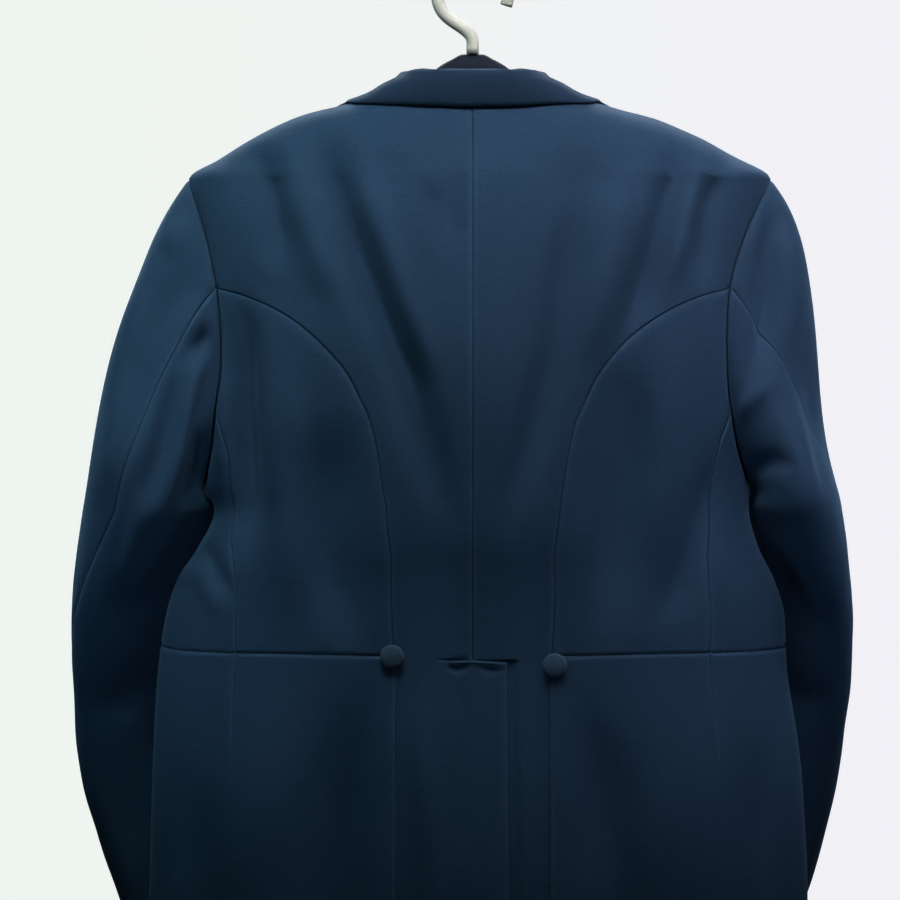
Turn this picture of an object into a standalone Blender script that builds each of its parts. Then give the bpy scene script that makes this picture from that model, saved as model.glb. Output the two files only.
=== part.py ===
"""A morning coat on a coat hanger: the cloth as cut and sewn, the buttons, the hanger and its hook.

Metres, +Z up. The origin is where a rail carries the hook. The coat's back faces -Y, and +X is to the
right of someone who looks at its back. "left" and "right" below are as seen from there, and a side is
-1 or +1.
"""

import math
from collections import namedtuple

import bpy
import numpy as np

WALL = 0.002  # the cloth with what is sewn into it
SEAM_GAP = 0.0003
LAP_GAP = 0.0010  # between a tail or skirt and what it laps over
ROUND = 2.2  # 2 makes the body's level sections ellipses, more makes them squarer
SIDES = (-1, 1)

# The body's level sections: half widths of the two sides, then how far the back and the front stand
# from the middle
BodyRow = namedtuple("BodyRow", "z left right back front")
BODY = (
    BodyRow(-0.100, 0.050, 0.050, 0.046, 0.036),
    BodyRow(-0.109, 0.078, 0.078, 0.049, 0.040),
    BodyRow(-0.1148, 0.1045, 0.1055, 0.0515, 0.043),
    BodyRow(-0.1270, 0.1480, 0.1505, 0.057, 0.048),
    BodyRow(-0.1433, 0.1825, 0.1900, 0.063, 0.053),
    BodyRow(-0.1595, 0.2085, 0.2190, 0.069, 0.059),
    BodyRow(-0.1755, 0.2310, 0.2425, 0.074, 0.064),
    BodyRow(-0.210, 0.2345, 0.2405, 0.079, 0.071),
    BodyRow(-0.260, 0.2335, 0.2355, 0.084, 0.078),
    BodyRow(-0.310, 0.2315, 0.2330, 0.086, 0.082),
    BodyRow(-0.360, 0.2275, 0.2300, 0.083, 0.080),
    BodyRow(-0.400, 0.2225, 0.2265, 0.078, 0.076),
    BodyRow(-0.425, 0.2180, 0.2250, 0.0745, 0.072),
    BodyRow(-0.445, 0.2110, 0.2245, 0.072, 0.069),
    BodyRow(-0.475, 0.2240, 0.2315, 0.067, 0.065),
    BodyRow(-0.500, 0.2400, 0.2440, 0.062, 0.060),
    BodyRow(-0.530, 0.2490, 0.2530, 0.058, 0.056),
    BodyRow(-0.570, 0.2545, 0.2555, 0.055, 0.052),
    BodyRow(-0.630, 0.2590, 0.2640, 0.058, 0.050),
    BodyRow(-0.690, 0.2620, 0.2695, 0.062, 0.050),
    BodyRow(-0.756, 0.2645, 0.2730, 0.066, 0.050),
    BodyRow(-0.870, 0.2680, 0.2740, 0.069, 0.050),
    BodyRow(-1.000, 0.2680, 0.2730, 0.070, 0.050),
    BodyRow(-1.150, 0.2640, 0.2690, 0.070, 0.050),
)

# Largest folds of the back, as troughs: where they start and end, how wide and how deep
Fold = namedtuple("Fold", "x0 z0 x1 z1 width depth")
BODY_FOLDS = (
    Fold(-0.120, -0.134, -0.050, -0.380, 0.016, 0.0040),
    Fold(-0.050, -0.380, -0.024, -0.500, 0.014, 0.0020),
    Fold(0.163, -0.145, 0.137, -0.320, 0.016, 0.0040),
    Fold(0.086, -0.170, 0.062, -0.350, 0.013, 0.0025),
    Fold(-0.112, -0.640, -0.126, -0.900, 0.022, 0.0050),
    Fold(0.116, -0.660, 0.124, -0.900, 0.022, 0.0040),
)

# Armhole: an oval as seen from the side, laid on the body
ARMHOLE_Z = -0.30025
ARMHOLE_HALF_HEIGHT = 0.12475
ARMHOLE_BACK = 0.046
ARMHOLE_FRONT = 0.056
SEAM_STEPS = 10  # along the curved seam, the side seam and the front edge beside them
# Places round the armhole in degrees from the shoulder, backward first, and the steps between them
CURVED_SEAM_AT = 73.5
SIDE_SEAM_AT = 121.0
UNDERARM_AT = 180.0
FRONT_SEAM_AT = 235.0
ArmStretch = namedtuple("ArmStretch", "start end steps")
ARM_STRETCHES = {
    "back": ArmStretch(0.0, CURVED_SEAM_AT, 4),
    "side_body": ArmStretch(CURVED_SEAM_AT, SIDE_SEAM_AT, 5),
    "underarm": ArmStretch(SIDE_SEAM_AT, UNDERARM_AT, 3),
    "front_low": ArmStretch(UNDERARM_AT, FRONT_SEAM_AT, 3),
    "front_high": ArmStretch(FRONT_SEAM_AT, 360.0, 7),
}

# Seams, as places across (x) and up (z) on the back or the front
Spot = namedtuple("Spot", "x z")
NECK_BACK = (
    Spot(0, -0.118), Spot(0.030, -0.1167), Spot(0.055, -0.1137), Spot(0.070, -0.1108),
    Spot(0.078, -0.109),
)  # fmt: skip
NECK_FRONT = (
    Spot(0.078, -0.109), Spot(0.0785, -0.115), Spot(0.078, -0.122), Spot(0.0755, -0.131),
    Spot(0.072, -0.140),
)  # fmt: skip
CURVED_SEAM = (
    Spot(0.188, -0.270), Spot(0.170, -0.277), Spot(0.151, -0.287), Spot(0.1355, -0.298),
    Spot(0.1172, -0.315), Spot(0.1008, -0.335), Spot(0.091, -0.354), Spot(0.0815, -0.376),
    Spot(0.0745, -0.410), Spot(0.069, -0.450), Spot(0.0656, -0.490), Spot(0.0635, -0.561),
)  # fmt: skip
SIDE_SEAM = (Spot(0.1965, -0.400), Spot(0.1935, -0.446), Spot(0.191, -0.507), Spot(0.191, -0.557))
ROLL_HIGH = (
    Spot(0.072, -0.140), Spot(0.064, -0.185), Spot(0.045, -0.265), Spot(0.0225, -0.360),
    Spot(0.0066, -0.430),
)  # fmt: skip
ROLL_LOW = (
    Spot(0.0066, -0.430), Spot(-0.005, -0.480), Spot(-0.0125, -0.515), Spot(-0.0165, -0.535),
    Spot(-0.012, -0.5515),
)  # fmt: skip

# Lines below the waist, as degrees round the body from the centre back and heights
Turn = namedtuple("Turn", "angle z")
WAIST = (
    Turn(0, -0.5636), Turn(14, -0.5615), Turn(30, -0.5600), Turn(50, -0.5590), Turn(70, -0.5570),
    Turn(90, -0.5540), Turn(120, -0.5520), Turn(183, -0.5515),
)  # fmt: skip
CUTAWAY = (
    Turn(178, -0.575), Turn(172, -0.610), Turn(162, -0.660), Turn(150, -0.705), Turn(135, -0.755),
    Turn(118, -0.800), Turn(100, -0.850), Turn(85, -0.900), Turn(70, -0.955), Turn(57, -1.010),
    Turn(45, -1.060), Turn(36, -1.095),
)  # fmt: skip
HEM_Z = -1.130
SHOULDER_Z = -0.1755
CURVED_SEAM_ROW_Z = -0.285  # at the centre back, the row that ends where the curved seam leaves the armhole

VENT_TOP_Z = -0.566
VENT_LAP_TOP = 0.028  # how far the left tail laps over the centre
VENT_LAP_HEM = 0.034
PLEAT_X = 0.0615  # edge of the skirt, on top
PLEAT_UNDER_X = 0.078  # edge of the tail, under it
FRONT_LAP = 0.0080  # how far the left front stands off, to clear the right one and its lapel
FRONT_LAP_X = (-0.075, -0.030)  # where it starts to stand off and where it has all of it
FRONT_LAP_Z = (-0.375, -0.440)
FRONT_EASE = 0.030  # the same from the sides forward
TAIL_UNDER_Z = (VENT_TOP_Z + 0.012, VENT_TOP_Z + 0.001)  # where the right tail goes in under the left one
TAIL_UNDER_X = (0.056, 0.038)
SKIRT_OVER_X = (0.125, 0.085)  # where the skirt rises over the tail

# Lapel, as laid on the front
LAPEL_LIFT = 0.0042
LAPEL_CLEAR = 0.0014  # past the front's edge, where it turns over
GORGE = (
    Spot(0.0705, -0.145), Spot(0.092, -0.161), Spot(0.112, -0.1755), Spot(0.130, -0.174),
    Spot(0.150, -0.168),
)  # fmt: skip
LAPEL_EDGE = (
    Spot(0.150, -0.168), Spot(0.146, -0.200), Spot(0.134, -0.260), Spot(0.112, -0.335),
    Spot(0.080, -0.410), Spot(0.040, -0.475), Spot(0.012, -0.512), Spot(-0.006, -0.528),
)  # fmt: skip
LAPEL_ROLL = (
    Spot(0.0705, -0.145), Spot(0.064, -0.185), Spot(0.045, -0.265), Spot(0.0225, -0.360),
    Spot(0, -0.4586), Spot(-0.0125, -0.515),
)  # fmt: skip

# Collar: the top of its roll, its outer edge on the body, and how far its fall stands out between the
# two, from the centre back to its front end
CollarRow = namedtuple("CollarRow", "share roll_x roll_y roll_z edge_angle edge_z bulge_high bulge_low")
COLLAR = (
    CollarRow(0.00, 0.000, -0.0540, -0.0892, 0, -0.1212, 0.0015, 0.0015),
    CollarRow(0.18, 0.027, -0.0520, -0.0890, 20, -0.1206, 0.0015, 0.0015),
    CollarRow(0.36, 0.0485, -0.0400, -0.0882, 47, -0.1180, 0.0012, 0.0008),
    CollarRow(0.50, 0.0575, -0.0180, -0.0895, 72, -0.1148, -0.0010, -0.0040),
    CollarRow(0.60, 0.060, 0.0020, -0.0930, 92, -0.1145, -0.0012, -0.0045),
    CollarRow(0.80, 0.0630, 0.0300, -0.1065, 134, -0.1320, 0.0010, 0.0005),
    CollarRow(1.00, 0.0670, 0.0480, -0.1280, 149, -0.1640, 0.0015, 0.0015),
)
COLLAR_ROLL_RADIUS = 0.0032
COLLAR_LIFT = 0.0032

# Sleeves: level sections below the armhole, as outer and inner edges of the two sides. Their depth
# follows the girth, and the lean is how many degrees the innermost place lies forward of the middle, in
# front of the body's side.
SleeveRow = namedtuple("SleeveRow", "z girth left_out left_in right_out right_in middle_y lean")
SLEEVE = (
    SleeveRow(-0.4450, 0.395, 0.3171, 0.2140, 0.2995, 0.2285, 0.012, 16),
    SleeveRow(-0.4800, 0.385, 0.3221, 0.2205, 0.3050, 0.2305, 0.026, 26),
    SleeveRow(-0.5100, 0.375, 0.3255, 0.2265, 0.3084, 0.2370, 0.038, 32),
    SleeveRow(-0.5400, 0.365, 0.3276, 0.2300, 0.3100, 0.2355, 0.051, 36),
    SleeveRow(-0.5850, 0.350, 0.3287, 0.2330, 0.3101, 0.2310, 0.070, 38),
    SleeveRow(-0.6300, 0.335, 0.3274, 0.2330, 0.3069, 0.2270, 0.087, 38),
    SleeveRow(-0.6700, 0.322, 0.3227, 0.2320, 0.3018, 0.2240, 0.099, 36),
    SleeveRow(-0.7125, 0.310, 0.3122, 0.2270, 0.2925, 0.2150, 0.111, 34),
    SleeveRow(-0.7556, 0.300, 0.2976, 0.2160, 0.2809, 0.2020, 0.121, 32),
    SleeveRow(-0.7850, 0.292, 0.2880, 0.2080, 0.2700, 0.1930, 0.127, 30),
)
HEAD_STEPS = 6  # from the armhole to the first level section
# How the sleeve's head leaves the armhole, outward and down, at the shoulder, under the arm and between
# the two
Leave = namedtuple("Leave", "out down")
LEAVE_SHOULDER = Leave(0.60, 0.80)
LEAVE_UNDERARM = Leave(0.80, 0.60)
LEAVE_BETWEEN = Leave(0.62, 0.50)
LEAVE_BACKWARD = 0.42
LEAVE_PULL = 0.95
ARRIVE = Leave(0.17, 0.985)
SLEEVE_STEPS = 10
# Where the sleeve's back seam lies round it, in degrees from the outer side, backward
SeamRow = namedtuple("SeamRow", "z left right")
BACK_SEAM = (
    SeamRow(-0.2648, CURVED_SEAM_AT, CURVED_SEAM_AT), SeamRow(-0.370, 72, 45), SeamRow(-0.430, 66, 10),
    SeamRow(-0.467, 54, -6), SeamRow(-0.510, 33, -14), SeamRow(-0.560, 5, -20),
    SeamRow(-0.785, -10, -24),
)  # fmt: skip

# Hanger: its top line, and half its height and depth there
HangerRow = namedtuple("HangerRow", "x top half_height half_depth")
HANGER_HUMP = (
    HangerRow(0.000, -0.0735, 0.018, 0.008),
    HangerRow(0.008, -0.0735, 0.018, 0.008),
    HangerRow(0.016, -0.0772, 0.017, 0.009),
    HangerRow(0.0265, -0.0830, 0.016, 0.010),
    HangerRow(0.038, -0.0935, 0.014, 0.010),
    HangerRow(0.050, -0.1030, 0.012, 0.010),
)
HANGER_ARM_XS = (0.078, 0.100, 0.125, 0.150, 0.170, 0.190, 0.205)
HANGER_HALF_HEIGHT = 0.011
HANGER_HALF_DEPTHS = (0.010, 0.016)  # at the neck and at the ends
HANGER_CLEAR = 0.0015
HANGER_END_X = 0.211
HANGER_END_HALF = 0.005

ROD = 0.005  # radius of the hook's rod
HOOK_RADIUS = 0.029  # of its bend, at the rod's middle
HOOK_STEM_BOTTOM = -0.0732
HOOK_STEM_TOP = -0.064
HOOK_ARC = (205, -20)  # where its round bend starts and ends, in degrees
HOOK_EASE = (0.012, 0.014)  # how softly the stem runs into the bend

ButtonRow = namedtuple("ButtonRow", "radius height")
BUTTON_DOME = (
    ButtonRow(0.0095, 0.0), ButtonRow(0.0100, 0.0012), ButtonRow(0.0093, 0.0026),
    ButtonRow(0.0070, 0.0043), ButtonRow(0.0038, 0.0053),
)  # fmt: skip
BUTTON_TOP = 0.0056
BUTTON_CLEAR = 0.0007
BACK_BUTTONS = {-1: Spot(-0.0648, -0.5612), 1: Spot(0.0656, -0.5684)}
FRONT_BUTTON_Z = -0.5380

Look = namedtuple("Look", "colour roughness metallic")
WOOL = Look((0.020, 0.031, 0.047), 0.85, 0.0)
HANGER_LOOK = Look((0.030, 0.034, 0.042), 0.55, 0.0)
HOOK_LOOK = Look((0.62, 0.60, 0.56), 0.40, 0.0)


# Curves through the tables

def smooth(at, xs, ys):
    """A value between table rows by a cubic that never overshoots them; xs may rise or fall."""
    xs, ys, at = (np.asarray(v, dtype=float) for v in (xs, ys, at))
    if xs[0] > xs[-1]:
        xs, ys = xs[::-1], ys[::-1]
    step = np.diff(xs)
    rise = np.diff(ys) / step
    both = rise[1:] * rise[:-1]
    inner = np.where(both > 0, 2 * both / (rise[1:] + rise[:-1] + 1e-30), 0.0)
    slope = np.concatenate([[rise[0]], inner, [rise[-1]]])
    place = np.clip(np.searchsorted(xs, at) - 1, 0, len(step) - 1)
    share = np.clip((at - xs[place]) / step[place], 0, 1)
    low, high = ys[place], ys[place + 1]
    return (
        low * (2 * share**3 - 3 * share**2 + 1)
        + high * (3 * share**2 - 2 * share**3)
        + slope[place] * step[place] * (share**3 - 2 * share**2 + share)
        + slope[place + 1] * step[place] * (share**3 - share**2)
    )


def column(rows, name):
    return np.array([getattr(row, name) for row in rows], dtype=float)


def between(rows, name, at, key="z"):
    return smooth(at, column(rows, key), column(rows, name))


def ramp(value, start, end):
    """0 at start and before it, 1 at end and past it, with soft ends."""
    share = np.clip((value - start) / (end - start), 0, 1)
    return share * share * (3 - 2 * share)


def unit(v):
    return v / np.maximum(np.linalg.norm(v, axis=-1, keepdims=True), 1e-12)


# The body's surface: t is the turn from the centre back (0) over the side (90 degrees) to the centre
# front (180)

def side_name(side):
    return "left" if side < 0 else "right"


def body_base(side, t, z):
    sine, cosine = np.sin(t), np.cos(t)
    reach = (np.abs(sine) ** ROUND + np.abs(cosine) ** ROUND) ** (-1 / ROUND)
    depth = np.where(cosine > 0, between(BODY, "back", z), between(BODY, "front", z))
    x = side * between(BODY, side_name(side), z) * sine * reach
    return np.stack([x, -depth * cosine * reach, z + 0 * t], -1)


def surface_normal(surface, side, t, z):
    turn, drop = 1e-4, 1e-5
    along = surface(t + turn, z) - surface(t - turn, z)
    up = surface(t, z + drop) - surface(t, z - drop)
    return unit(side * np.cross(along, up))


def trough(folds, x, z):
    """How deep the folds are at a place seen from behind."""
    depth = np.zeros(np.broadcast(x, z).shape)
    for fold in folds:
        run = np.array([fold.x1 - fold.x0, fold.z1 - fold.z0])
        length = math.hypot(*run)
        share = ((x - fold.x0) * run[0] + (z - fold.z0) * run[1]) / length**2
        off = ((x - fold.x0) * run[1] - (z - fold.z0) * run[0]) / length
        ends = ramp(share, -0.12, 0.25) * (1 - ramp(share, 0.75, 1.12))
        depth = depth + fold.depth * ends * np.exp(-((off / fold.width) ** 2))
    return depth


def body_surface(side, lift=None):
    """The body with its folds, moved out by what lift(x, y, z) gives."""

    def plain(t, z):
        return body_base(side, t, z)

    def surface(t, z):
        base = plain(t, z)
        x, y = base[..., 0], base[..., 1]
        out = -trough(BODY_FOLDS, x, z) * ramp(-y, 0.0, 0.030)
        if lift is not None:
            out = out + lift(x, y, z)
        return base + surface_normal(plain, side, t, z) * out[..., None]

    return surface


def turn_at_x(side, x, z, front=False):
    share = np.clip(np.abs(x) / between(BODY, side_name(side), z), 0, 1) ** ROUND
    t = np.arctan2(share ** (1 / ROUND), (1 - share) ** (1 / ROUND)) * np.where(x < 0, -1, 1)
    return np.pi - t if front else t


def turn_at_y(y, z):
    depth = np.where(y < 0, between(BODY, "back", z), between(BODY, "front", z))
    share = np.clip(np.abs(y) / depth, 0, 1) ** ROUND
    t = np.arctan2((1 - share) ** (1 / ROUND), share ** (1 / ROUND))
    return np.where(y < 0, t, np.pi - t)


# Seams, as arrays of (t, z)

def spots(side, rows, front=False):
    x, z = column(rows, "x"), column(rows, "z")
    return np.stack([turn_at_x(side, x, z, front), z], -1)


def turns(rows):
    return np.stack([np.radians(column(rows, "angle")), column(rows, "z")], -1)


def seam(side, places, steps):
    """Even steps along a smooth line through places on the body."""
    points = body_base(side, places[:, 0], places[:, 1])
    length = np.concatenate([[0], np.cumsum(np.linalg.norm(np.diff(points, axis=0), axis=1))])
    at = np.linspace(0, length[-1], steps + 1)
    line = np.stack([smooth(at, length, places[:, k]) for k in (0, 1)], -1)
    line[0], line[-1] = places[0], places[-1]
    return line


def straight(start, end, steps):
    share = np.linspace(0, 1, steps + 1)[:, None]
    return start * (1 - share) + end * share


def armhole(stretch):
    """Places along one stretch of the armhole."""
    start, end, steps = ARM_STRETCHES[stretch]
    angle = np.radians(np.linspace(start, end, steps + 1))
    deep = np.where(angle < np.pi, ARMHOLE_BACK, ARMHOLE_FRONT)
    y = -deep * np.sin(angle)
    z = ARMHOLE_Z + ARMHOLE_HALF_HEIGHT * np.cos(angle)
    t = turn_at_y(y, z)
    if start == 0.0:
        t[0] = np.pi / 2
    return np.stack([t, z], -1)


def waist(t):
    return np.stack([t, smooth(t, np.radians(column(WAIST, "angle")), column(WAIST, "z"))], -1)


def patch(top, bottom, left, right):
    """A grid of places between four lines that share their corners; rows run from top to bottom."""
    down = np.linspace(0, 1, len(left))[:, None, None]
    across = np.linspace(0, 1, len(top))[None, :, None]
    top_corners = (1 - across) * top[0] + across * top[-1]
    bottom_corners = (1 - across) * bottom[0] + across * bottom[-1]
    from_sides = (1 - across) * left[:, None] + across * right[:, None]
    return (1 - down) * (top - top_corners) + down * (bottom - bottom_corners) + from_sides


def strip(left, right, steps):
    return patch(straight(left[0], right[0], steps), straight(left[-1], right[-1], steps), left, right)


# Solids

def add_object(name, vertices, faces, look):
    mesh = bpy.data.meshes.new(name)
    mesh.from_pydata([tuple(map(float, v)) for v in vertices], [], faces)
    mesh.validate()
    mesh.polygons.foreach_set("use_smooth", [True] * len(mesh.polygons))
    material = bpy.data.materials.new(name + "_finish")
    material.use_nodes = True
    shader = material.node_tree.nodes["Principled BSDF"]
    shader.inputs["Base Color"].default_value = (*look.colour, 1.0)
    shader.inputs["Roughness"].default_value = look.roughness
    shader.inputs["Metallic"].default_value = look.metallic
    mesh.materials.append(material)
    result = bpy.data.objects.new(name, mesh)
    bpy.context.scene.collection.objects.link(result)
    return result


def weld(grids):
    """Joins grids of (points, normals) where their points are the same."""
    points, normals, faces, known = [], [], [], {}
    for grid, out in grids:
        ids = np.zeros(grid.shape[:2], dtype=int)
        for place in np.ndindex(ids.shape):
            key = tuple(np.round(grid[place] * 1e6).astype(int))
            if key not in known:
                known[key] = len(points)
                points.append(grid[place])
                normals.append(out[place])
            ids[place] = known[key]
        for i, j in np.ndindex(ids.shape[0] - 1, ids.shape[1] - 1):
            loop = [ids[i, j], ids[i + 1, j], ids[i + 1, j + 1], ids[i, j + 1]]
            faces.append([v for k, v in enumerate(loop) if v != loop[k - 1]])
    return np.array(points), np.array(normals), faces


def rim_edges(faces):
    edges = {(face[k - 1], face[k]) for face in faces for k in range(len(face))}
    return [edge for edge in sorted(edges) if edge[::-1] not in edges]


def seam_inset(points, normals, rim):
    """Half a seam's gap, from every edge of a piece inward along its cloth."""
    inward = {}
    for start, end in rim:
        across = unit(np.cross(normals[start] + normals[end], points[end] - points[start]))
        inward.setdefault(start, []).append(across)
        inward.setdefault(end, []).append(across)
    move = np.zeros_like(points)
    for vertex, (first, second, *_) in inward.items():
        move[vertex] = (first + second) / max(1 + first @ second, 0.4) * SEAM_GAP / 2
    return move


def cloth(name, grids, side=1, look=WOOL):
    """A closed wall of cloth under grids of outer points."""
    points, normals, faces = weld(grids)
    if side < 0:
        faces = [face[::-1] for face in faces]
    rim = rim_edges(faces)
    outer = points + seam_inset(points, normals, rim)
    inner = outer - normals * WALL
    count = len(points)
    under = [[v + count for v in reversed(face)] for face in faces]
    edge = []
    for a, b in rim:
        # both pieces at a seam split its wall along the same slant, from the higher place outside
        if tuple(points[a][::-1]) > tuple(points[b][::-1]):
            edge += [[b, a, b + count], [a, a + count, b + count]]
        else:
            edge += [[b, a, a + count], [b, a + count, b + count]]
    return add_object(name, np.concatenate([outer, inner]), faces + under + edge, look)


def on_body(side, lift, *patches):
    surface = body_surface(side, lift)
    grids = []
    for places in patches:
        t, z = places[..., 0], places[..., 1]
        grids.append((surface(t, z), surface_normal(surface, side, t, z)))
    return grids


# Lifts: how far a piece stands off the body

def tail_lift(side):
    def lift(x, y, z):
        if side < 0:
            return 0 * x
        return -(WALL + LAP_GAP) * ramp(z, *TAIL_UNDER_Z) * ramp(x, *TAIL_UNDER_X)

    return lift


def lap_lift(side):
    """The left front and skirt lap over the right ones."""

    def lift(x, y, z):
        if side > 0:
            return 0 * x
        return FRONT_LAP * ramp(y, 0, FRONT_EASE) * ramp(x, *FRONT_LAP_X) * ramp(z, *FRONT_LAP_Z)

    return lift


def skirt_lift(side):
    def lift(x, y, z):
        over = ramp(np.abs(x), *SKIRT_OVER_X) * ramp(-y, 0, 0.02)
        return lap_lift(side)(x, y, z) + (WALL + LAP_GAP) * over

    return lift


# The seams that two pieces share, for one side

def curved_seam(side):
    start = armhole("side_body")[:1]
    return seam(side, np.concatenate([start, spots(side, CURVED_SEAM)]), SEAM_STEPS)


def side_seam(side):
    start = armhole("underarm")[:1]
    return seam(side, np.concatenate([start, spots(side, SIDE_SEAM)]), SEAM_STEPS)


def front_edge_low(side):
    return seam(side, spots(side, ROLL_LOW, front=True), SEAM_STEPS)


def neck_back(side):
    return seam(side, spots(side, NECK_BACK), 8)


def neck_front(side):
    return seam(side, spots(side, NECK_FRONT, front=True), 7)


def shoulder_seam():
    z = np.linspace(NECK_BACK[-1].z, SHOULDER_Z, 5)
    return np.stack([0 * z + np.pi / 2, z], -1)


def centre_line(top, bottom, steps):
    z = np.linspace(top, bottom, steps + 1)
    return np.stack([0 * z, z], -1)


# Pieces

def make_back(side):
    across = 8
    neck, shoulder, curved = neck_back(side), shoulder_seam(), curved_seam(side)
    arm = armhole("back")
    centre = {
        "high": centre_line(NECK_BACK[0].z, SHOULDER_Z, len(shoulder) - 1),
        "middle": centre_line(SHOULDER_Z, CURVED_SEAM_ROW_Z, len(arm) - 1),
        "low": centre_line(CURVED_SEAM_ROW_Z, WAIST[0].z, len(curved) - 1),
        "tail": centre_line(WAIST[0].z, HEM_Z, 10),
    }
    arm[0] = shoulder[-1]
    shoulder_row = straight(centre["high"][-1], shoulder[-1], across)
    curved_row = straight(centre["middle"][-1], curved[0], across)
    waist_row = straight(centre["low"][-1], curved[-1], across)
    tail_z = centre["tail"][:, 1]
    tail_side = np.stack([turn_at_x(side, CURVED_SEAM[-1].x, tail_z), tail_z], -1)
    tail_side[0] = curved[-1]
    hem_row = straight(centre["tail"][-1], tail_side[-1], across)
    under_side = np.stack([turn_at_x(side, 0 * tail_z + PLEAT_UNDER_X, tail_z), tail_z], -1)
    lap = smooth(tail_z, [VENT_TOP_Z, HEM_Z], [VENT_LAP_TOP, VENT_LAP_HEM])
    vent_z = np.concatenate([[VENT_TOP_Z], tail_z[1:]])
    lap_side = np.stack([turn_at_x(side, -lap, vent_z), vent_z], -1)
    vent_centre = np.stack([0 * vent_z, vent_z], -1)
    vent_centre[0] = centre["tail"][0]
    grids = on_body(
        side,
        tail_lift(side),
        patch(neck, shoulder_row, centre["high"], shoulder),
        patch(shoulder_row, curved_row, centre["middle"], arm),
        patch(curved_row, waist_row, centre["low"], curved),
        patch(waist_row, hem_row, centre["tail"], tail_side),
        strip(tail_side, under_side, 2),
        strip(lap_side, vent_centre, 3),
    )
    return cloth(f"back_{side_name(side)}", grids, side)


def make_side_body(side):
    curved, seam_line, arm = curved_seam(side), side_seam(side), armhole("side_body")
    bottom = waist(np.linspace(curved[-1, 0], seam_line[-1, 0], len(arm)))
    bottom[0], bottom[-1] = curved[-1], seam_line[-1]
    places = patch(arm, bottom, curved, seam_line)
    return cloth(f"side_body_{side_name(side)}", on_body(side, None, places), side)


def front_waist(side):
    start, end = side_seam(side)[-1], front_edge_low(side)[-1]
    line = waist(np.linspace(start[0], end[0], 11))
    line[0], line[-1] = start, end
    return line


def make_front(side):
    shoulder = shoulder_seam()
    arm_front = np.concatenate([armhole("front_low"), armhole("front_high")[1:]])[::-1]
    arm_front[0] = shoulder[-1]
    arm_side = np.concatenate([shoulder, arm_front[1:]])
    roll = seam(side, spots(side, ROLL_HIGH, front=True), len(arm_side) - 1)
    neck = neck_front(side)
    low_edge = front_edge_low(side)
    arm_row = straight(arm_side[-1], roll[-1], len(neck) - 1)
    under = armhole("underarm")
    under[-1] = arm_row[0]
    low_top = np.concatenate([under, arm_row[1:]])
    grids = on_body(
        side,
        lap_lift(side),
        patch(neck, arm_row, arm_side, roll),
        patch(low_top, front_waist(side), side_seam(side), low_edge),
    )
    return cloth(f"front_{side_name(side)}", grids, side)


def make_skirt(side):
    side_waist = make_waist_over_side_body(side)
    top = np.concatenate([side_waist, front_waist(side)[1:]])
    rows = 14
    pleat_z = np.linspace(top[0, 1], HEM_Z + 0.002, rows + 1)
    pleat = np.stack([turn_at_x(side, 0 * pleat_z + PLEAT_X, pleat_z), pleat_z], -1)
    pleat[0] = top[0]
    cutaway = seam(side, np.concatenate([top[-1:], turns(CUTAWAY)]), rows)
    hem = seam(side, np.concatenate([pleat[-1:], turns([Turn(25, -1.119)]), cutaway[-1:]]), len(top) - 1)
    places = patch(top, hem, pleat, cutaway)
    return cloth(f"skirt_{side_name(side)}", on_body(side, skirt_lift(side), places), side)


def make_waist_over_side_body(side):
    curved_end, seam_end = curved_seam(side)[-1], side_seam(side)[-1]
    line = waist(np.linspace(curved_end[0], seam_end[0], len(armhole("side_body"))))
    line[-1] = seam_end
    line[0, 0] = turn_at_x(side, PLEAT_X, line[0, 1])
    return line


def lapel_lift(side):
    def lift(x, y, z):
        return lap_lift(side)(x, y, z) + LAPEL_LIFT

    return lift


def make_lapel(side):
    """The lapel turns round the roll line and lies on the front."""
    rows = 16
    roll = seam(side, spots(side, LAPEL_ROLL, front=True), rows)
    edge = seam(side, spots(side, LAPEL_EDGE, front=True), rows)
    gorge = seam(side, spots(side, GORGE, front=True), 6)
    gorge[0], edge[0] = roll[0], gorge[-1]
    places = patch(gorge, straight(roll[-1], edge[-1], 6), roll, edge)
    (flat, flat_out), = on_body(side, lapel_lift(side), places)
    surface = body_surface(side, lap_lift(side))
    t, z = roll[:, 0], roll[:, 1]
    base, out = surface(t, z), surface_normal(surface, side, t, z)
    toward = unit(surface(t + 1e-4, z) - base)
    radius = (LAPEL_LIFT + WALL) / 2
    turn = np.radians([0, 45, 90, 135])
    turned = [
        base
        + toward * (LAPEL_CLEAR + radius * math.sin(a))
        + out * (LAPEL_LIFT - radius - radius * math.cos(a))
        for a in turn
    ]
    turned_out = [toward * math.sin(a) - out * math.cos(a) for a in turn]
    grid = np.concatenate([np.stack(turned, 1), flat], 1)
    grid_out = np.concatenate([np.stack(turned_out, 1), flat_out], 1)
    return cloth(f"lapel_{side_name(side)}", [(grid[:, ::-1], grid_out[:, ::-1])], side)


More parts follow.
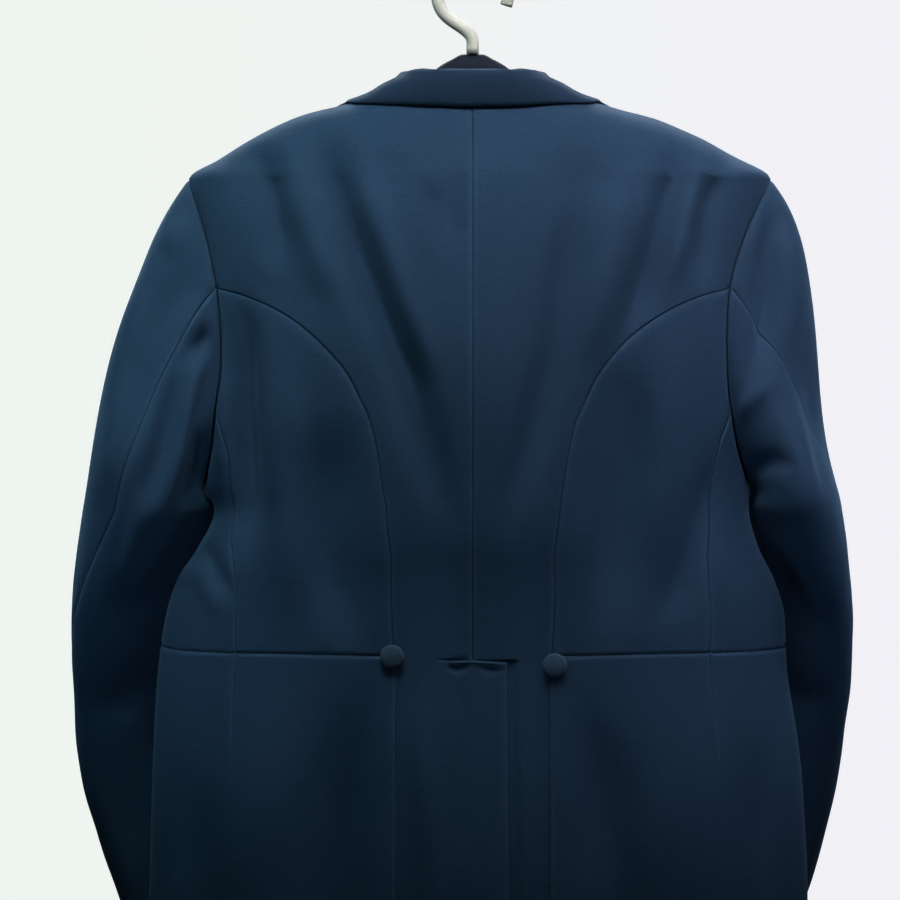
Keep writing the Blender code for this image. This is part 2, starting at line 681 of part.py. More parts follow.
def collar_profile(side, base, base_out, share):
    """Points from the neck seam up the stand, over the roll and down the fall, at a share of the neck."""
    x, y, top, turn, z, high, low = (
        between(COLLAR, name, share, "share") for name in CollarRow._fields[1:]
    )
    roll = np.array([side * x, y, top])
    t = np.radians(turn)
    surface = body_surface(side)
    edge = surface(t, z) + surface_normal(surface, side, t, z) * COLLAR_LIFT
    up = np.array([0, 0, 1.0])
    level = unit(base_out * [1, 1, 0])
    foot = base - level * WALL + up * 0.0006
    centre = roll - up * COLLAR_ROLL_RADIUS
    inner = centre + COLLAR_ROLL_RADIUS * (-0.97 * level + 0.24 * up)
    outer = centre + COLLAR_ROLL_RADIUS * (0.90 * level + 0.44 * up)
    crest_in = centre + COLLAR_ROLL_RADIUS * (-0.60 * level + 0.80 * up)
    crest_out = centre + COLLAR_ROLL_RADIUS * (0.50 * level + 0.87 * up)
    return [
        foot, (2 * foot + inner) / 3, (foot + 2 * inner) / 3, inner, crest_in, crest_out, outer,
        0.66 * outer + 0.34 * edge + high * level, 0.33 * outer + 0.67 * edge + low * level, edge,
    ]  # fmt: skip


def grid_normals(grid, closed=False):
    if closed:
        grid = np.concatenate([grid[:, -1:], grid, grid[:, :1]], 1)
    down, across = np.gradient(grid, axis=0), np.gradient(grid, axis=1)
    normals = unit(np.cross(across, -down))
    return normals[:, 1:-1] if closed else normals


def make_collar():
    rows = []
    for side in SIDES:
        places = np.concatenate([neck_back(side), neck_front(side)[1:-1]])
        surface = body_surface(side)
        bases = surface(places[:, 0], places[:, 1])
        outs = surface_normal(surface, side, places[:, 0], places[:, 1])
        shares = np.linspace(0, 1, len(bases))
        half = [collar_profile(side, base, out, share) for base, out, share in zip(bases, outs, shares)]
        rows += half[:0:-1] if side < 0 else half
    grid = np.array(rows).transpose(1, 0, 2)
    return cloth("collar", [(grid, grid_normals(grid))], 1)


def sleeve_row(side, z):
    name = side_name(side)
    out, inner = between(SLEEVE, f"{name}_out", z), between(SLEEVE, f"{name}_in", z)
    half_width = (out - inner) / 2
    around = between(SLEEVE, "girth", z) / (2 * math.pi)
    half_depth = np.sqrt(2 * around**2 - half_width**2)
    return (out + inner) / 2, between(SLEEVE, "middle_y", z), half_width, half_depth


def sleeve_section(side, angle, z):
    """Points of a level section; the angle is 0 at the outer side and 90 degrees at the back."""
    middle_x, middle_y, half_width, half_depth = sleeve_row(side, z)
    lean = np.radians(between(SLEEVE, "lean", z))
    x = side * (middle_x + half_width * np.cos(angle))
    return np.stack([x, middle_y - half_depth * np.sin(angle + lean), z + 0 * angle], -1)


def sleeve_angles(side, z, head):
    """The armhole's own steps, shifted at each height so that they follow the sleeve's two seams."""
    back = math.radians(float(between(BACK_SEAM, side_name(side), z)))
    start = math.radians(CURVED_SEAM_AT)
    front = math.radians(FRONT_SEAM_AT)
    over_top = (2 * math.pi - front + back) / (2 * math.pi - front + start)
    under = back + (head - start) * (front - back) / (front - start)
    return np.where(
        head <= start,
        back + (head - start) * over_top,
        np.where(head <= front, under, front + (head - front) * over_top),
    )


def armhole_loop(side):
    """Points, normals and angles once round the armhole, on the body."""
    stretches = [armhole(name)[:-1] for name in ARM_STRETCHES]
    stretches[0][0] = shoulder_seam()[-1]
    places = np.concatenate(stretches)
    angles = np.concatenate([np.linspace(s.start, s.end, s.steps + 1)[:-1] for s in ARM_STRETCHES.values()])
    surface = body_surface(side, lap_lift(side))
    t, z = places[:, 0], places[:, 1]
    return surface(t, z), surface_normal(surface, side, t, z), np.radians(angles)


def sleeve_grid(side):
    """Outer points and normals of the whole sleeve, a row a step down and a column a step round."""
    loop, loop_out, head = armhole_loop(side)
    first_z = SLEEVE[0].z
    first = sleeve_section(side, sleeve_angles(side, first_z, head), first_z)
    high, low = (1 + np.cos(head)) / 2, (1 - np.cos(head)) / 2
    round_it = np.sin(head) ** 2
    weights = np.stack([high**2, low**2, round_it], -1)
    rows = (LEAVE_SHOULDER, LEAVE_UNDERARM, LEAVE_BETWEEN)
    out, down = weights @ column(rows, "out"), weights @ column(rows, "down")
    leave = unit(np.stack([side * out, -LEAVE_BACKWARD * np.sin(head), -down], -1))
    arrive = np.array([side * ARRIVE.out, ARRIVE.out, -ARRIVE.down])
    chord = np.linalg.norm(first - loop, axis=1)[:, None]
    rows = []
    for share in np.linspace(0, 1, HEAD_STEPS + 1):
        rows.append(
            loop * (2 * share**3 - 3 * share**2 + 1)
            + first * (3 * share**2 - 2 * share**3)
            + leave * chord * LEAVE_PULL * (share**3 - 2 * share**2 + share)
            + arrive * chord * (share**3 - share**2)
        )
    for z in np.linspace(first_z, SLEEVE[-1].z, SLEEVE_STEPS + 1)[1:]:
        rows.append(sleeve_section(side, sleeve_angles(side, z, head), z))
    grid = np.array(rows)
    normals = grid_normals(grid, closed=True) * -side
    at_top = ramp(np.cos(head), -0.5, 0.2)[:, None]
    normals[0] = unit(loop_out * at_top + normals[0] * (1 - at_top))
    return grid, normals


def make_sleeve(side):
    grid, out = sleeve_grid(side)
    count = {name: stretch.steps for name, stretch in ARM_STRETCHES.items()}
    back_seam = count["back"]
    front_seam = back_seam + count["side_body"] + count["underarm"] + count["front_low"]
    total = grid.shape[1]
    under = np.arange(back_seam, front_seam + 1)
    top = np.arange(front_seam, total + back_seam + 1) % total
    for name, columns in (("under_sleeve", under), ("top_sleeve", top)):
        columns = columns[::-1]
        cloth(f"{name}_{side_name(side)}", [(grid[:, columns], out[:, columns])], side)


def make_button(name, surface, side, t, z):
    point = surface(np.array(t), np.array(z))
    out = surface_normal(surface, side, np.array(t), np.array(z))
    across = unit(np.cross([0, 0, 1.0], out))
    up = np.cross(out, across)
    seat = point + out * BUTTON_CLEAR
    count = 20
    vertices, faces = [], []
    for row in BUTTON_DOME:
        for a in np.arange(count) * 2 * math.pi / count:
            vertices.append(seat + row.radius * (across * math.cos(a) + up * math.sin(a)) + out * row.height)
    for k in range(len(BUTTON_DOME) - 1):
        for j in range(count):
            n = (j + 1) % count
            faces.append([k * count + j, k * count + n, (k + 1) * count + n, (k + 1) * count + j])
    vertices += [seat, seat + out * BUTTON_TOP]
    base, top = len(vertices) - 2, len(vertices) - 1
    last = (len(BUTTON_DOME) - 1) * count
    for j in range(count):
        n = (j + 1) % count
        faces.append([base, n, j])
        faces.append([last + j, last + n, top])
    return add_object(name, vertices, faces, WOOL)


def make_buttons():
    for side, spot in BACK_BUTTONS.items():
        surface = body_surface(side, skirt_lift(side))
        turn = turn_at_x(side, abs(spot.x), spot.z)
        make_button(f"back_button_{side_name(side)}", surface, side, turn, spot.z)
    surface = body_surface(-1, lap_lift(-1))
    make_button("front_button", surface, -1, np.pi, FRONT_BUTTON_Z)


def tube(name, sections, look):
    """A closed tube through rings of points, with a point at each end."""
    count = len(sections[0])
    vertices = [point for ring in sections for point in ring]
    faces = []
    for k in range(len(sections) - 1):
        for j in range(count):
            n = (j + 1) % count
            faces.append([k * count + j, k * count + n, (k + 1) * count + n, (k + 1) * count + j])
    last = (len(sections) - 1) * count
    faces.append(list(range(count - 1, -1, -1)))
    faces.append([last + j for j in range(count)])
    return add_object(name, vertices, faces, look)


def ridge_top(x):
    """Height of the shoulder line at a distance from the middle."""
    z = np.linspace(BODY[0].z, SHOULDER_Z, 200)
    return float(np.interp(x, between(BODY, "left", z), z))


def hanger_rows():
    rows = list(HANGER_HUMP)
    for x in HANGER_ARM_XS:
        slope = (ridge_top(x + 0.004) - ridge_top(x - 0.004)) / 0.008
        drop = (WALL + HANGER_CLEAR) * math.hypot(1, slope)
        share = (x - HANGER_ARM_XS[0]) / (HANGER_ARM_XS[-1] - HANGER_ARM_XS[0])
        deep = HANGER_HALF_DEPTHS[0] + (HANGER_HALF_DEPTHS[1] - HANGER_HALF_DEPTHS[0]) * share
        rows.append(HangerRow(x, ridge_top(x) - drop, HANGER_HALF_HEIGHT, deep))
    last = rows[-1]
    end_top = last.top - last.half_height + HANGER_END_HALF - 0.003
    rows.append(HangerRow(HANGER_END_X, end_top, HANGER_END_HALF, HANGER_END_HALF))
    return rows


def make_hanger():
    rows = hanger_rows()
    both = [row._replace(x=-row.x) for row in rows[:0:-1]] + rows
    angles = np.arange(14) * 2 * math.pi / 14
    sections = []
    for row in both:
        middle = row.top - row.half_height
        ring = [
            (row.x, row.half_depth * math.sin(a), middle + row.half_height * math.cos(a)) for a in angles
        ]
        sections.append(ring[::-1])
    return tube("hanger", sections, HANGER_LOOK)


def hook_path():
    """Middle of the rod in the plane of the coat: up the stem, out to the left and round over the top."""
    angles = np.radians(np.linspace(*HOOK_ARC, 19))
    arc = np.stack([HOOK_RADIUS * np.cos(angles), ROD - HOOK_RADIUS + HOOK_RADIUS * np.sin(angles)], -1)
    start, end = np.array([0.0, HOOK_STEM_TOP]), arc[0]
    leave = start + [0, HOOK_EASE[0]]
    arrive = end + HOOK_EASE[1] * np.array([-math.sin(angles[0]), math.cos(angles[0])])
    share = np.array([0.2, 0.4, 0.6, 0.8])[:, None]
    bend = (
        (1 - share) ** 3 * start
        + 3 * (1 - share) ** 2 * share * leave
        + 3 * (1 - share) * share**2 * arrive
        + share**3 * end
    )
    return np.concatenate([[(0.0, HOOK_STEM_BOTTOM), start], bend, arc])


def make_hook():
    path = hook_path()
    along = unit(np.gradient(path, axis=0))
    along[0] = (0, 1)
    sections = []
    angles = np.arange(10) * 2 * math.pi / 10
    for (x, z), (dx, dz) in zip(path, along):
        ring = [(x + ROD * math.cos(a) * dz, -ROD * math.sin(a), z - ROD * math.cos(a) * dx) for a in angles]
        sections.append(ring[::-1])
    return tube("hook", sections, HOOK_LOOK)


def main():
    for old in list(bpy.data.objects):
        bpy.data.objects.remove(old, do_unlink=True)
    for side in SIDES:
        make_back(side)
        make_side_body(side)
        make_front(side)
        make_skirt(side)
        make_lapel(side)
        make_sleeve(side)
    make_collar()
    make_buttons()
    make_hanger()
    make_hook()


main()
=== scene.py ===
import math
from collections import namedtuple

import bpy
import numpy as np
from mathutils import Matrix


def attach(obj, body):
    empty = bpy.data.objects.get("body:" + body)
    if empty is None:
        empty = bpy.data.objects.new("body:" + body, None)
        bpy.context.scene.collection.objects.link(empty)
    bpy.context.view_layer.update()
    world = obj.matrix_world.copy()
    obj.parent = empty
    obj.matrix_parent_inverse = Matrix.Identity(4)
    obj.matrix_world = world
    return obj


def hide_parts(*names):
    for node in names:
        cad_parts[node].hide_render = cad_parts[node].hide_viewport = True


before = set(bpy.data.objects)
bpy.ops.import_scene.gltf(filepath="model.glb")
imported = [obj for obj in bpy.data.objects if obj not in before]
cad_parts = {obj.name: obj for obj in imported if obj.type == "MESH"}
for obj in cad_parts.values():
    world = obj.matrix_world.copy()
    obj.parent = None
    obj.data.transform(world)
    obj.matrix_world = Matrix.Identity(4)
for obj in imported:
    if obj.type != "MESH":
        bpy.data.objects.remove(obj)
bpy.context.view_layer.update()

# Looks of a morning coat on a hanger. Every cloth piece is a thin shell that follows the surface of its CAD
# solid, from the same tables, with finer steps, pressed seams and the folds of the photograph. The sleeves'
# inner side lies a little nearer to the body at the elbow than in the solid. The coat's back faces -Y.

STEP = 0.0045  # between grid lines of the cloth
CLOTH = 0.0016
SEAM_GAP = 0.000008
LAP_GAP = 0.001
PRESS = 0.0011  # how far a seam's edge is pressed in
PRESS_REACH = 0.0016
CLOSE = (0.0007, 0.0016, 0.003)  # grid lines beside each edge, for the press
ROUND = 2.2
SIDES = (-1, 1)
EDGE_REACH = 0.0035  # width of the band beside a seam that the look shows, lightened with wear and a painted highlight
SHARP_RIM = 0.4  # keeps the closing of a seam small where a rim turns sharply
FOLD_FADE = 0.35  # share of a fold over which it sets in and ends
SIDE_FADE = 0.025  # how far from the sides the folds of the back and front set in
SLEEVE_FADE = 0.45  # the same for the sleeves, from the way they face


def table(kind, *rows):
    """Rows with named columns."""
    return tuple(kind(*row) for row in rows)


BodyRow = namedtuple("BodyRow", "z left right back front")
BODY = table(
    BodyRow,
    (-0.1, 0.05, 0.05, 0.046, 0.036),
    (-0.109, 0.078, 0.078, 0.049, 0.04),
    (-0.1148, 0.1045, 0.1055, 0.0515, 0.043),
    (-0.127, 0.148, 0.1505, 0.057, 0.048),
    (-0.1433, 0.1825, 0.19, 0.063, 0.053),
    (-0.1595, 0.2085, 0.219, 0.069, 0.059),
    (-0.1755, 0.231, 0.2425, 0.074, 0.064),
    (-0.21, 0.2345, 0.2405, 0.079, 0.071),
    (-0.26, 0.2335, 0.2355, 0.084, 0.078),
    (-0.31, 0.2315, 0.233, 0.086, 0.082),
    (-0.36, 0.2275, 0.23, 0.083, 0.08),
    (-0.4, 0.2225, 0.2265, 0.078, 0.076),
    (-0.425, 0.218, 0.225, 0.0745, 0.072),
    (-0.445, 0.211, 0.2245, 0.072, 0.069),
    (-0.475, 0.224, 0.2315, 0.067, 0.065),
    (-0.5, 0.24, 0.244, 0.062, 0.06),
    (-0.53, 0.249, 0.253, 0.058, 0.056),
    (-0.57, 0.2545, 0.2555, 0.055, 0.052),
    (-0.63, 0.259, 0.264, 0.058, 0.05),
    (-0.69, 0.262, 0.2695, 0.062, 0.05),
    (-0.756, 0.2645, 0.273, 0.066, 0.05),
    (-0.87, 0.268, 0.274, 0.069, 0.05),
    (-1.0, 0.268, 0.273, 0.07, 0.05),
    (-1.15, 0.264, 0.269, 0.07, 0.05),
)

# Armhole: an oval as seen from the side, laid on the body, and places round it in degrees from the shoulder
ARMHOLE_Z = -0.30025
ARMHOLE_HALF_HEIGHT = 0.12475
ARMHOLE_BACK = 0.046
ARMHOLE_FRONT = 0.056
CURVED_SEAM_AT = 73.5
SIDE_SEAM_AT = 121.0
UNDERARM_AT = 180.0
FRONT_SEAM_AT = 235.0

Spot = namedtuple("Spot", "x z")
NECK_BACK = table(
    Spot, (0, -0.118), (0.03, -0.1167), (0.055, -0.1137), (0.07, -0.1108), (0.078, -0.109),
)
NECK_FRONT = table(
    Spot, (0.078, -0.109), (0.0785, -0.115), (0.078, -0.122), (0.0755, -0.131), (0.072, -0.14),
)
CURVED_SEAM = table(
    Spot, (0.188, -0.27), (0.17, -0.277), (0.151, -0.287), (0.1355, -0.298), (0.1172, -0.315),
    (0.1008, -0.335), (0.091, -0.354), (0.0815, -0.376), (0.0745, -0.41), (0.069, -0.45),
    (0.0656, -0.49), (0.0635, -0.561),
)
SIDE_SEAM = table(Spot, (0.1965, -0.4), (0.1935, -0.446), (0.191, -0.507), (0.191, -0.557))
ROLL_HIGH = table(
    Spot, (0.072, -0.14), (0.064, -0.185), (0.045, -0.265), (0.0225, -0.36), (0.0066, -0.43),
)
ROLL_LOW = table(
    Spot, (0.0066, -0.43), (-0.005, -0.48), (-0.0125, -0.515), (-0.0165, -0.535), (-0.012, -0.5515),
)

Turn = namedtuple("Turn", "angle z")
WAIST = table(
    Turn, (0, -0.5636), (14, -0.5615), (30, -0.56), (50, -0.559), (70, -0.557), (90, -0.554),
    (120, -0.552), (183, -0.5515),
)
CUTAWAY = table(
    Turn, (178, -0.575), (172, -0.61), (162, -0.66), (150, -0.705), (135, -0.755), (118, -0.8),
    (100, -0.85), (85, -0.9), (70, -0.955),
)
HEM_FRONT = table(Turn, (57, -1.01), (70, -0.955))
DART_HEM = Turn(45, -1.06)
DART_FADE = (0.59, 0.76)  # depth below the hook's top over which the hip dart fades
DART_FADE_AWAY = 0.01
HEM_BACK = table(Turn, (25, -1.119), (36, -1.095), DART_HEM)
HEM_Z = -1.13
SHOULDER_Z = -0.1755
CURVED_SEAM_ROW_Z = -0.285
SHOULDER_ROLL_Z = -0.2  # where the row from the shoulder point meets the roll line

VENT_TOP_Z = -0.566
TAIL_UNDER_FROM = (0.5638, 0.5657)  # depth below the hook's top where the right tail goes under the left one
TAIL_UNDER_BESIDE = (0.0025, 0.011)  # distance beside the flap's edge where it comes out again
VENT_LAP_TOP = 0.028
VENT_LAP_HEM = 0.034
PLEAT_X = 0.0615
PLEAT_UNDER_X = 0.078
FRONT_LAP = 0.008
FRONT_LAP_X = (-0.075, -0.03)
FRONT_LAP_DOWN = (0.375, 0.44)
FRONT_LAP_FROM_Y = 0.03
SKIRT_OVER_X = (0.085, 0.125)
BELLY_AT = 97.0  # where the front's panel is divided for its grid

# Lengths by which the grids of the panels are divided, down and across
BACK_DOWN = (0.165, 0.1, 0.33)
BACK_ACROSS = 0.2
PLEAT_ACROSS = 0.0145
VENT_ACROSS = 0.031
SIDE_BODY_GRID = (0.32, 0.12)
FRONT_DOWN = (0.12, 0.26, 0.16)
FRONT_ACROSS = (0.21, 0.06)
SKIRT_DOWN = 0.55
SKIRT_ACROSS = (0.15, 0.3)
LAPEL_GRID = (0.4, 0.09)
COLLAR_NECK = (0.1, 0.045)
COLLAR_PROFILE = 0.068
SLEEVE_DOWN = (0.2, 0.36)
ARMHOLE_RADIUS = 0.062

LAPEL_LIFT = 0.0042
LAPEL_CLEAR = 0.0014
GORGE = table(
    Spot, (0.0705, -0.145), (0.092, -0.161), (0.112, -0.1755), (0.13, -0.174), (0.15, -0.168),
)
LAPEL_EDGE = table(
    Spot, (0.15, -0.168), (0.146, -0.2), (0.134, -0.26), (0.112, -0.335), (0.08, -0.41),
    (0.04, -0.475), (0.012, -0.512), (-0.006, -0.528),
)
LAPEL_ROLL = table(
    Spot, (0.0705, -0.145), (0.064, -0.185), (0.045, -0.265), (0.0225, -0.36), (0, -0.4586),
    (-0.0125, -0.515),
)

CollarRow = namedtuple("CollarRow", "share roll_x roll_y roll_z edge_angle edge_z bulge_high bulge_low")
COLLAR = table(
    CollarRow,
    (0.0, 0.0, -0.054, -0.0892, 0, -0.1212, 0.0015, 0.0015),
    (0.18, 0.027, -0.052, -0.089, 20, -0.1206, 0.0015, 0.0015),
    (0.36, 0.0485, -0.04, -0.0882, 47, -0.118, 0.0012, 0.0008),
    (0.5, 0.0575, -0.018, -0.0895, 72, -0.1148, -0.001, -0.004),
    (0.6, 0.06, 0.002, -0.093, 92, -0.1145, -0.0012, -0.0045),
    (0.8, 0.063, 0.03, -0.1065, 134, -0.132, 0.001, 0.0005),
    (1.0, 0.067, 0.048, -0.128, 149, -0.164, 0.0015, 0.0015),
)
COLLAR_ROLL_RADIUS = 0.0032
COLLAR_LIFT = 0.0032
COLLAR_FRONT_USED = 6 / 7  # share of the front neckline that the collar follows
COLLAR_BACK_SHARE = 8 / 13

SleeveRow = namedtuple("SleeveRow", "z girth left_out left_in right_out right_in middle_y lean")
SLEEVE = table(
    SleeveRow,
    (-0.445, 0.395, 0.3171, 0.209, 0.2995, 0.2235, 0.012, 16),
    (-0.48, 0.385, 0.3221, 0.219, 0.305, 0.229, 0.026, 26),
    (-0.51, 0.375, 0.3255, 0.2265, 0.3084, 0.237, 0.038, 32),
    (-0.54, 0.365, 0.3276, 0.23, 0.31, 0.2355, 0.051, 36),
    (-0.585, 0.35, 0.3287, 0.233, 0.3101, 0.231, 0.07, 38),
    (-0.63, 0.335, 0.3274, 0.233, 0.3069, 0.227, 0.087, 38),
    (-0.67, 0.322, 0.3227, 0.232, 0.3018, 0.224, 0.099, 36),
    (-0.7125, 0.31, 0.3122, 0.227, 0.2925, 0.215, 0.111, 34),
    (-0.7556, 0.3, 0.2976, 0.216, 0.2809, 0.202, 0.121, 32),
    (-0.785, 0.292, 0.288, 0.208, 0.27, 0.193, 0.127, 30),
)
Leave = namedtuple("Leave", "out down")
LEAVE_SHOULDER = Leave(0.6, 0.8)
LEAVE_UNDERARM = Leave(0.8, 0.6)
LEAVE_BETWEEN = Leave(0.62, 0.5)
LEAVE_BACKWARD = 0.42
LEAVE_PULL = 0.95
SEAM_EASE = 0.55
SEAM_EASE_REACH = 35.0
ARRIVE = Leave(0.17, 0.985)
ARRIVE_FORWARD = 0.4
SeamRow = namedtuple("SeamRow", "z left right")
BACK_SEAM = table(
    SeamRow, (-0.2648, CURVED_SEAM_AT, CURVED_SEAM_AT), (-0.37, 72, 45), (-0.43, 66, 10),
    (-0.467, 54, -6), (-0.51, 33, -14), (-0.56, 5, -20), (-0.785, -10, -24),
)

# Folds as seen from behind (or from in front), in millimetres: a path of (x, z), the width of the trough and
# its depth; a ridge has a depth below zero
Fold = namedtuple("Fold", "path width depth")


def fold(path, width, depth):
    return Fold(np.array(path) / 1000, width / 1000, depth / 1000)


BACK_FOLDS = table(
    fold,
    (((-128, -124), (-92, -238), (-50, -343), (-18, -470)), 13.5, 13.9),
    (((-106, -130), (-68, -240), (-32, -345)), 14, -6.8),
    (((-176, -144), (-165, -180), (-150, -255)), 9, 9.5),
    (((-152, -146), (-130, -220), (-106, -290)), 12, -5.7),
    (((-184, -256), (-184, -360), (-176, -480)), 10, 12.5),
    (((-203, -325), (-201, -390), (-204, -440)), 9, -5.1),
    (((-222, -465), (-204, -500), (-190, -515)), 6, 5.7),
    (((-226, -485), (-207, -522), (-197, -530)), 6, -2.9),
    (((170, -138), (158, -190), (144, -240), (116, -330)), 10.5, 13.1),
    (((188, -146), (174, -200), (156, -270)), 8, -5.5),
    (((205, -158), (190, -205), (182, -270)), 8, 8.8),
    (((92, -146), (76, -238), (62, -330), (28, -470)), 13, 11.2),
    (((128, -146), (110, -240), (90, -340)), 14, -6.1),
    (((-15, -160), (-18, -196), (-14, -238)), 7, 2.3),
    (((-32, -165), (-26, -186), (-20, -194)), 8, -2.7),
    (((198, -390), (180, -470), (150, -550)), 12, 8.8),
    (((124, -290), (124, -400), (112, -550)), 18, 10.5),
    (((158, -290), (156, -400), (144, -500)), 16, -5.5),
    (((-118, -360), (-116, -470), (-104, -555)), 20, 8.8),
    (((-150, -310), (-152, -430), (-148, -540)), 14, -5.7),
    (((-85, -572), (-104, -660), (-116, -790), (-122, -960)), 22, 16),
    (((83, -575), (108, -670), (120, -800), (124, -950)), 21, 12.6),
    (((-160, -590), (-176, -720), (-180, -900)), 30, -6.8),
    (((168, -600), (180, -740), (184, -900)), 30, -6.1),
    (((-226, -640), (-222, -760), (-210, -880)), 16, 5.7),
    (((228, -620), (230, -740), (214, -880)), 16, 5.5),
    (((-46, -585), (-36, -680), (-28, -830)), 12, -4.4),
    (((-32, -564), (-22, -564.6), (0, -564.6)), 0.9, 1.2),
    (((-26, -566.2), (0, -566.2), (30, -567)), 1, -0.8),
    (((-22, -569), (-12.5, -573), (-3, -569)), 2.4, 2),
    (((5, -569.4), (14.5, -574), (25, -569.8)), 2.4, 2.1),
    (((-12.5, -578), (-12, -592), (-8, -610)), 6, 1.2),
)
TACK_ROWS = (
    0.0004, 0.0008, 0.0012, 0.0018, 0.0024, 0.003, 0.0038, 0.0048, 0.006, 0.0074, 0.009, 0.011, 0.0135,
)
FRONT_FOLDS = table(
    fold,
    (((-185, -230), (-160, -290), (-120, -350)), 13, 2.6),
    (((187, -235), (166, -300), (128, -365)), 13, 2.4),
    (((-180, -400), (-110, -470), (-40, -525)), 12, 2.6),
    (((176, -410), (105, -480), (40, -528)), 12, 2.4),
    (((-170, -470), (-90, -520), (-30, -540)), 8, -1.2),
    (((-50, -575), (-110, -640), (-170, -720)), 16, 3),
    (((50, -578), (108, -645), (175, -725)), 16, 2.8),
)
SLEEVE_BACK_FOLDS = table(
    fold,
    (((-207, -300), (-219, -309), (-231, -324)), 6.5, 9.6),
    (((-200, -300), (-224, -336), (-230, -360), (-237, -394), (-272, -495)), 5.5, -7.5),
    (((-237, -330), (-243, -370), (-252, -405), (-268, -445)), 8, 6.4),
    (((-214, -375), (-220, -410), (-236, -455)), 7, 5.2),
    (((-258, -425), (-270, -455), (-286, -505)), 5.5, -4.9),
    (((-214, -238), (-245, -275), (-263, -330), (-272, -400)), 15, 10.1),
    (((-212, -212), (-235, -221), (-252, -240)), 10, -4.3),
    (((-275, -330), (-286, -380), (-296, -440)), 10, -4.3),
    (((-238, -490), (-262, -512), (-300, -530)), 11, 4.9),
    (((-262, -570), (-282, -600), (-306, -620)), 14, 4.3),
    (((244, -186), (237, -254), (232, -298), (219, -352)), 9.5, 10.4),
    (((252, -210), (257, -285), (252, -336)), 10, -5.2),
    (((209, -372), (228, -352), (250, -336)), 6.5, -5.2),
    (((222, -330), (226, -300), (228, -270)), 6, -2.9),
    (((222, -414), (240, -404), (262, -410)), 8, 4.3),
    (((272, -330), (280, -400), (288, -450)), 9, 4.6),
    (((234, -470), (252, -500), (282, -548)), 9, 6.7),
    (((246, -570), (262, -595), (288, -610)), 13, 4.1),
)
SLEEVE_FRONT_FOLDS = table(
    fold,
    (((-300, -470), (-270, -485), (-240, -480)), 8, 3.4),
    (((-306, -520), (-275, -530), (-245, -520)), 9, 3),
    (((-240, -250), (-250, -310), (-262, -370)), 9, 2.4),
    (((290, -465), (262, -482), (238, -476)), 8, 3.2),
    (((294, -515), (270, -528), (246, -518)), 9, 2.8),
    (((238, -255), (246, -315), (256, -375)), 9, 2.2),
)

# Slow unevenness of hanging cloth: wave lengths across and down, shift and height
Wave = namedtuple("Wave", "across down shift height")
WAVES = table(
    Wave,
    (0.17, 0.41, 0.4, 0.0007),
    (-0.11, 0.26, 2.1, 0.0005),
    (0.071, 0.33, 4.0, 0.0003),
    (0.046, -0.15, 1.2, 0.00018),
)

# The shoulder line is a soft bend: depth, reach, and distances from the middle where it sets in and ends
CREST_SOFT = 0.0042
CREST_REACH = 0.021
CREST_FROM = (0.02, 0.09)
CREST_TO = (0.185, 0.226)

HangerRow = namedtuple("HangerRow", "x top half_height half_depth")
HANGER_HUMP = table(
    HangerRow,
    (0.0, -0.0735, 0.018, 0.008),
    (0.008, -0.0735, 0.018, 0.008),
    (0.016, -0.0772, 0.017, 0.009),
    (0.0265, -0.083, 0.016, 0.01),
    (0.038, -0.0935, 0.014, 0.01),
    (0.05, -0.103, 0.012, 0.01),
)
HANGER_ARM_XS = (0.078, 0.1, 0.125, 0.15, 0.17, 0.19, 0.205)
HANGER_HALF_HEIGHT = 0.011
HANGER_HALF_DEPTHS = (0.01, 0.016)
HANGER_CLEAR = 0.0035
HANGER_END_X = 0.211
HANGER_END_HALF = 0.005
HANGER_END_DROP = 0.003

ROD = 0.005
HOOK_RADIUS = 0.029
HOOK_STEM_BOTTOM = -0.0732
HOOK_STEM_TOP = -0.064
HOOK_BEND_AT = 205  # degrees round the hook where the bend from the stem ends
HOOK_TIP_AT = -20
HOOK_STEM_REACH = 0.012  # how far the bend follows the stem, and then the round
HOOK_ROUND_REACH = 0.014

BUTTON_CLEAR = 0.0007
BACK_BUTTONS = {-1: Spot(-0.0648, -0.5612), 1: Spot(0.0656, -0.5684)}
FRONT_BUTTON_Z = -0.538
DomeRow = namedtuple("DomeRow", "radius height")
BUTTON_DOME = table(
    DomeRow, (0.0086, 0.0), (0.0093, 0.0004), (0.0096, 0.0012), (0.0097, 0.0021), (0.0095, 0.003),
    (0.0089, 0.0039), (0.0078, 0.0045), (0.0062, 0.0049), (0.0042, 0.0053), (0.002, 0.0055),
)
BUTTON_TOP = 0.0056

# Camera and light
FRAME_WIDTH = 0.72  # metres that the photograph's frame spans at the coat's back
FRAME_MIDDLE = (-0.0184, -0.3956)  # x and z
COAT_BACK_Y = -0.07
CAMERA_AWAY = 4.0  # from the coat's back
ROOM_HALF = 11.0
ROOM_TOP = 9.0
ROOM_TINT_REACH = 1.7
FLOOR_Z = -1.6
SENSOR = 36.0


# Curves through the tables

def smooth(at, xs, ys):
    """A value between table rows by a cubic that never overshoots them; xs may rise or fall."""
    xs, ys, at = (np.asarray(v, dtype=float) for v in (xs, ys, at))
    if xs[0] > xs[-1]:
        xs, ys = xs[::-1], ys[::-1]
    step = np.diff(xs)
    rise = np.diff(ys) / step
    before, after = rise[:-1], rise[1:]
    inner = np.where(after * before > 0, 2 * after * before / (after + before + 1e-30), 0.0)
    slope = np.concatenate([[rise[0]], inner, [rise[-1]]])
    place = np.clip(np.searchsorted(xs, at) - 1, 0, len(step) - 1)
    share = np.clip((at - xs[place]) / step[place], 0, 1)
    low, high = ys[place], ys[place + 1]
    return (
        low * (2 * share**3 - 3 * share**2 + 1)
        + high * (3 * share**2 - 2 * share**3)
        + slope[place] * step[place] * (share**3 - 2 * share**2 + share)
        + slope[place + 1] * step[place] * (share**3 - share**2)
    )


